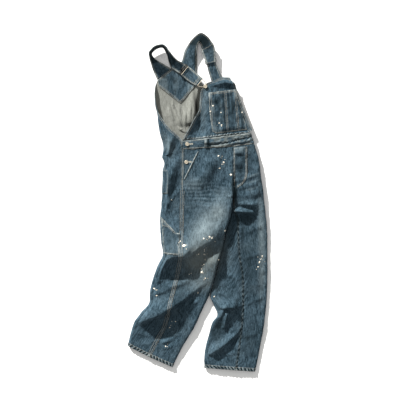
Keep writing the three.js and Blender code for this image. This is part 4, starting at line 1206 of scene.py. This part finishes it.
# rows of a grid at a set distance from one of its edges
def stitchEdge(p, n, distance, edge, first=0):
    pick = []
    if edge in ("start", "end"):
        across = runAlong(p, 1)
        if edge == "end":
            across = across[:, -1:] - across
        for i in range(first, p.shape[0]):
            pick.append((i, int(np.argmin(np.abs(across[i] - distance)))))
    else:
        along = runAlong(p, 0)
        if edge == "bottom":
            along = along[-1:, :] - along
        for j in range(first, p.shape[1]):
            pick.append((int(np.argmin(np.abs(along[:, j] - distance))), j))
    points = [p[k] + n[k] * stitch["off"] for k in pick]
    stitchPath(points, [n[k] for k in pick])


for grid, normals in ((frontRightGrid, frontRightNormals), (backRightGrid, backRightNormals),
                      (frontLeftGrid, frontLeftNormals), (backLeftGrid, backLeftNormals)):
    stitchEdge(grid, normals, 13, "bottom")
stitchEdge(frontRightGrid, frontRightNormals, 2.2, "start", 0)
stitchEdge(frontRightGrid, frontRightNormals, 8, "start", 62)
stitchEdge(backRightGrid, backRightNormals, 5.5, "start", 62)
for grid, normals in ((strapRightGrid, strapRightNormals), (strapLeftGrid, strapLeftNormals)):
    for edge in ("start", "end"):
        stitchEdge(grid + normals * strapThick / 2, normals, 4.5, edge)
        stitchEdge(grid - normals * strapThick / 2, -normals, 4.5, edge)
for back in rightBand["bars"]:
    stitchEdge(strapRightGrid + strapRightNormals * strapThick / 2, strapRightNormals, back, "bottom")
for edge in ("start", "end", "top", "bottom"):
    stitchEdge(strapEndGrid + strapEndNormals * denimThick / 2, strapEndNormals, 4, edge)

topCover = coverOf([
    frontRightPiece, frontLeftPiece, backRightPiece, backLeftPiece, waistPiece, bibPiece, bibPocket,
    welt, flyPiece, loopPiece, toolPocket, facingPiece, upperRightPiece, upperLeftPiece,
])
bibEdge = [tuple(r[0:2]) for r in rowsAt(bib["rows"], np.linspace(0.1, 8, 40))]
bibSide = [tuple(r[9:11]) for r in rowsAt(bib["rows"], np.linspace(0.3, 7.4, 40))]
bibTop = [(34, 503), (54, 510), (98, 524), (118, 527), (132, 523), (143, 511)]
wingEdge = [tuple(p[:2]) for p in upperRightGrid[20:110:3, -1]]
# a line on the cloth, and how far aside of it each row of stitches runs
seamLines = [
    ([(-64, 266), (50, 279), (200, 298)], [0]),
    ([(-62, 257), (146, 281), (214, 291)], [0]),
    ([(-62, 229), (146, 240), (232, 252)], [0]),
    (bibEdge, [-3, -8.5]),
    (bibSide, [3, 8.5]),
    (bibTop, [-1, -6.5]),
    ([(43.5, 464), (158, 477.5)], [-2.2, -8]),
    ([(44.5, 462), (48, 384), (57, 316), (61, 301), (75, 292.5), (206, 309.5)], [2]),
    *[([(x0, y0), (x1, y1)], [0]) for x0, y0, x1, y1 in bibPocketLines],
    ([(-166, 491), (-75, 419), (-12, 492)], [2.5, 8]),
    ([(-111.5, 570), (-172, 519.5)], [2.5, 8]),
    ([(-158, -55), (-92, -124)], [-2, -7]),
    ([(-150, -92), (-120, -101)], [0]),
    ([(-145, -213), (-79, -219)], [2, 7]),
    ([(206, 236), *flyCurve], [-2.5, -7]),
    ([(151, 230), (151, 62)], [0]),
    (wingEdge, [2.5, 8]),
    ([(-140, 153), (-141, 42)], [0]),
]
for line, asides in seamLines:
    for aside in asides:
        stitchOver(line, topCover, aside)
makePiece("stitching", stitchPoints, stitchFaces, [thread])
print("stitches sewn:", len(stitchFaces) // 6)

# paint spots: x, y, size across, stretch, turn
paintSpots = [
    [62, 408, 7, 1.2, 0.3], [51, 384, 6, 1.2, 1.2], [95.5, 380, 5, 1.1, 0],
    [88.5, 335, 6, 1.2, 0.6], [98, 327, 6, 1, 0], [185, 381, 6, 1, 0.4],
    [84.6, 198, 8, 1.4, 1.0], [107, 171, 8, 1.5, -0.7], [100, 163, 4, 1, 0],
    [91, 145.5, 5, 1, 0], [136.7, 119, 9, 1.2, 0], [112.3, -115, 7, 1.5, 1.2],
    [23.3, -147, 7, 1, 0], [48, -140, 8, 1.5, -0.6], [58, -145, 7, 1.2, 0.3],
    [-74.5, -158.5, 6, 1.2, 0.9], [-59.4, -176.6, 13, 1.15, 0.4], [2, -213, 5, 1.2, 0.5],
    [85.5, -236.7, 6, 1, 0], [14.5, -288.3, 9, 1.5, 0.5], [20, -292, 4, 1, 0],
    [30, -314.4, 6, 1, 0], [-38, -298, 4, 1, 0], [-184, -358.5, 8, 2.2, -0.5],
    [-176, -364, 4, 1, 0], [-174, -387.5, 7, 1.5, 0.4], [-1, -375.7, 5, 2.2, 1.4],
    [67, -392, 6, 1.4, 0.8], [269, -222.4, 7, 1.7, 1.2], [257, -247.6, 8, 1.8, 1.1],
    [251.4, -267, 6, 1.2, 0.4], [262, -236, 4, 1, 0], [-96, -496, 4, 1.2, 0],
    [-119.5, -521.5, 4, 1, 0], [-137, -601, 6, 1.5, 1.1], [26, -195, 4, 3.5, 1.5],
    [28, -215, 4, 3.5, 1.6], [29, -236, 4, 3.5, 1.5], [24, -256, 4, 3, 1.2],
    [14, -275, 4, 3, 0.9], [-110, 12, 3, 1, 0], [36, -150, 3, 1, 0],
    [70, -160, 3, 1, 0], [-50, -190, 3, 1, 0],
]
spot = dict(seed=7, ring=14, uneven=0.22, share=0.92, spread=1.3, specks=(1.6, 3.2))
chance = np.random.RandomState(spot["seed"])
paintPoints, paintFaces = [], []


def addSpot(x, y, size, stretch, turn):
    ring = spot["ring"]
    wobble = 1 + spot["uneven"] * chance.uniform(-1, 1, ring)
    base = len(paintPoints)
    z, _ = dropOn(topCover, x, y)
    if z is None:
        return
    paintPoints.append((x, y, z + 0.9))
    for share, lift in ((0.7, 0.8), (1.0, 0.12)):
        for k in range(ring):
            a = 2 * math.pi * k / ring
            reach = wobble[k] * size / 2 * share
            u, v = math.cos(a) * reach * stretch ** 0.5, math.sin(a) * reach / stretch ** 0.5
            px = x + u * math.cos(turn) - v * math.sin(turn)
            py = y + u * math.sin(turn) + v * math.cos(turn)
            high, _ = dropOn(topCover, px, py)
            paintPoints.append((px, py, (z if high is None else high) + lift))
    for k in range(ring):
        m = (k + 1) % ring
        paintFaces.append([base, base + 1 + k, base + 1 + m])
        paintFaces.append([base + 1 + k, base + 1 + ring + k, base + 1 + ring + m, base + 1 + m])


for x, y, size, stretch, turn in paintSpots:
    addSpot(x, y, size * spot["share"], stretch, turn)
    for _ in range(int(chance.uniform(0, 3))):
        dx = chance.normal(0, size * spot["spread"])
        dy = chance.normal(0, size * spot["spread"])
        addSpot(x + dx, y + dy, chance.uniform(*spot["specks"]), 1.2, chance.uniform(0, 3))
makePiece("paint_spots", paintPoints, paintFaces, [paint])
print("paint spots:", len(paintSpots))


# fastenings
def latheFaces(rings, segments):
    faces = []
    for i in range(rings - 1):
        for j in range(segments):
            m = (j + 1) % segments
            a, b = i * segments + j, i * segments + m
            faces.append([a, b, b + segments, a + segments])
    return faces


def makeButton(name, x, y, z, stem, setup):
    r = setup["radius"]
    profile = [(setup["shank"], 0), (setup["shank"], stem)]
    profile += [(r * share, stem + rise) for share, rise in setup["face"]]
    profile.append((0.05, stem + 2.9))
    segments = 36
    turns = [2 * math.pi * k / segments for k in range(segments)]
    points = [(x + q * math.cos(a), y + q * math.sin(a), z + h) for q, h in profile for a in turns]
    makePiece(name, points, latheFaces(len(profile), segments), [brassMetal], name)


# face: share of the radius, rise above the stem. places: name, x, y, stem
button = dict(
    radius=8, shank=2.6,
    face=[(0.9, 0.1), (1, 0.8), (0.98, 1.7), (0.86, 2.5), (0.74, 2.55), (0.68, 2.0), (0.5, 2.1), (0.2, 2.8)],
    places=[
        ("side_button_upper", -46, 247, 0.9),
        ("side_button_lower", -50, 172, 0.9),
        ("bib_button", 30, 490, 5.4),
    ],
)
for name, x, y, stem in button["places"]:
    z, _ = dropOn(topCover, x, y)
    makeButton(name, x, y, z + 0.2, stem, button)

# buttonholes beside the side buttons: a worn, stitched bar
buttonholes = [[-38, 247, -22, 248.5], [-42, 172, -28, 173]]
stitchPoints, stitchFaces = [], []
for x0, y0, x1, y1 in buttonholes:
    for k in range(14):
        x, y = mix(x0, x1, k / 13), mix(y0, y1, k / 13)
        for side in (-1, 1):
            z, n = dropOn(topCover, x, y + side * 1.8)
            addStitch((x, y + side * 0.4, z), (x, y + side * 3.2, z), n)
makePiece("buttonholes", stitchPoints, stitchFaces, [paleThread])


def tubeAlong(path, radius, closed, segments=10):
    path = np.asarray(path, float)
    n = len(path)
    points, faces = [], []
    for i in range(n):
        ahead = path[(i + 1) % n] if closed or i < n - 1 else path[i]
        back = path[i - 1] if closed or i > 0 else path[i]
        t = (ahead - back) / np.linalg.norm(ahead - back)
        side = np.cross(t, [0, 0, 1.0])
        side = side / np.linalg.norm(side)
        up = np.cross(side, t)
        for k in range(segments):
            a = 2 * math.pi * k / segments
            points.append(path[i] + radius * (side * math.cos(a) + up * math.sin(a)))
    for i in range(n if closed else n - 1):
        for k in range(segments):
            m = (k + 1) % segments
            j = (i + 1) % n
            faces.append([i * segments + k, i * segments + m, j * segments + m, j * segments + k])
    if not closed:
        faces.append(list(range(segments)))
        faces.append(list(range((n - 1) * segments, n * segments))[::-1])
    return points, faces


def closedCurve(points, fine):
    table = np.array([points[-1]] + list(points) + list(points[:2]), float)
    return rowsAt(table, np.linspace(1, len(points) + 1, fine, endpoint=False))


# loop: x, y and share of the way up from the button to the strap
hook = dict(wire=1.3, loop=[
    (34.6, 487.6, 0), (33, 497, 0), (28, 509, 0.5), (17, 519, 1), (7, 507, 1), (-2, 494, 1),
    (8, 489, 0.7), (20, 487.5, 0.3), (28, 484.6, 0),
])
stemZ, _ = dropOn(bibCover, 30, 490)
strapCover = coverOf([strapRightPiece])
strapZ, _ = dropOn(strapCover, -2, 512)
low, high = stemZ + 3.2, strapZ + strapThick / 2 + 1.8
hookPath = closedCurve([(x, y, mix(low, high, up)) for x, y, up in hook["loop"]], 90)
points, faces = tubeAlong(hookPath, hook["wire"], True)
makePiece("bib_hook", points, faces, [brassMetal], "bib_hook")


# slider: three bars across the strap and two along its edges
def makeSlider(name, x, y, z, tilt, setup):
    a = math.radians(tilt)
    half, wide, bar = setup["long"] / 2, setup["wide"] / 2, setup["bar"]
    points, faces = [], []
    strips = [[(-wide, -half), (-wide, half)], [(0, -half), (0, half)], [(wide, -half), (wide, half)],
              [(-wide, -half), (wide, -half)], [(-wide, half), (wide, half)]]
    for (u0, v0), (u1, v1) in strips:
        path = []
        for t in np.linspace(0, 1, 12):
            u, v = mix(u0, u1, t), mix(v0, v1, t)
            barX, barY = x + u * math.cos(a) - v * math.sin(a), y + u * math.sin(a) + v * math.cos(a)
            path.append((barX, barY, z + bar))
        more, quads = tubeAlong(path, bar, False)
        if (u0, v0) == (wide, -half) and (u1, v1) == (wide, half):
            rubbed = range(len(faces), len(faces) + len(quads))
        faces += [[len(points) + k for k in f] for f in quads]
        points += more
    piece = makePiece(name, points, faces, [steelMetal, brassMetal], name)
    for k in rubbed:
        piece.data.polygons[k].material_index = setup["rubbed"]
    return piece


slider = dict(long=46, wide=15, bar=1.1, rubbed=1)
z, _ = dropOn(strapCover, -62, 562)
makeSlider("slider_right", -62, 562, z + strapThick / 2 + gap, -39, slider)
leftCover = coverOf([strapLeftPiece])
z, _ = dropOn(leftCover, 51.8, 596)
makeSlider("slider_left", 51.8, 596, z + strapThick / 2 + gap, -73, dict(slider, rubbed=0))
print("fastenings made")

# floor, light, camera
ground = dict(reach=6, under=0.0005, colour=(0.86, 0.86, 0.86, 1), rough=0.9)
reach = ground["reach"]
corners = [(-reach, -reach, 0), (reach, -reach, 0), (reach, reach, 0), (-reach, reach, 0)]
floorMesh = bpy.data.meshes.new("floor")
floorMesh.from_pydata(corners, [], [[0, 1, 2, 3]])
floor = bpy.data.objects.new("floor", floorMesh)
bpy.context.collection.objects.link(floor)
floor.location.z = -ground["under"]
floor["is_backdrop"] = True
floorMaterial, tree, shader = newMaterial("floor")
shader.inputs["Base Color"].default_value = ground["colour"]
shader.inputs["Roughness"].default_value = ground["rough"]
floorMesh.materials.append(floorMaterial)

sun = dict(height=20, strength=12.5, spread=2.5, colour=(1.0, 0.975, 0.94), heading=(0.53, -0.85))
lamp = bpy.data.lights.new("window", "SUN")
lamp.energy = sun["strength"]
lamp.angle = math.radians(sun["spread"])
lamp.color = sun["colour"]
key = bpy.data.objects.new("window", lamp)
bpy.context.collection.objects.link(key)
elevation = math.radians(sun["height"])
headX, headY = sun["heading"]
travel = Vector((headX * math.cos(elevation), headY * math.cos(elevation), -math.sin(elevation)))
key.rotation_euler = travel.to_track_quat("-Z", "Y").to_euler()

room = dict(colour=(1.0, 1.0, 0.985, 1), strength=0.62)
world = bpy.data.worlds.new("room")
bpy.context.scene.world = world
world.use_nodes = True
world.node_tree.nodes["Background"].inputs[0].default_value = room["colour"]
world.node_tree.nodes["Background"].inputs[1].default_value = room["strength"]

view = dict(lens=85, sensor=36, x=0.041, y=-0.020, height=4.14)
cameraData = bpy.data.cameras.new("camera")
cameraData.lens = view["lens"]
cameraData.sensor_width = view["sensor"]
camera = bpy.data.objects.new("camera", cameraData)
bpy.context.collection.objects.link(camera)
camera.location = (view["x"], view["y"], view["height"])
bpy.context.scene.camera = camera
bpy.context.scene.view_settings.view_transform = "Standard"
print("stage set")

low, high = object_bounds()
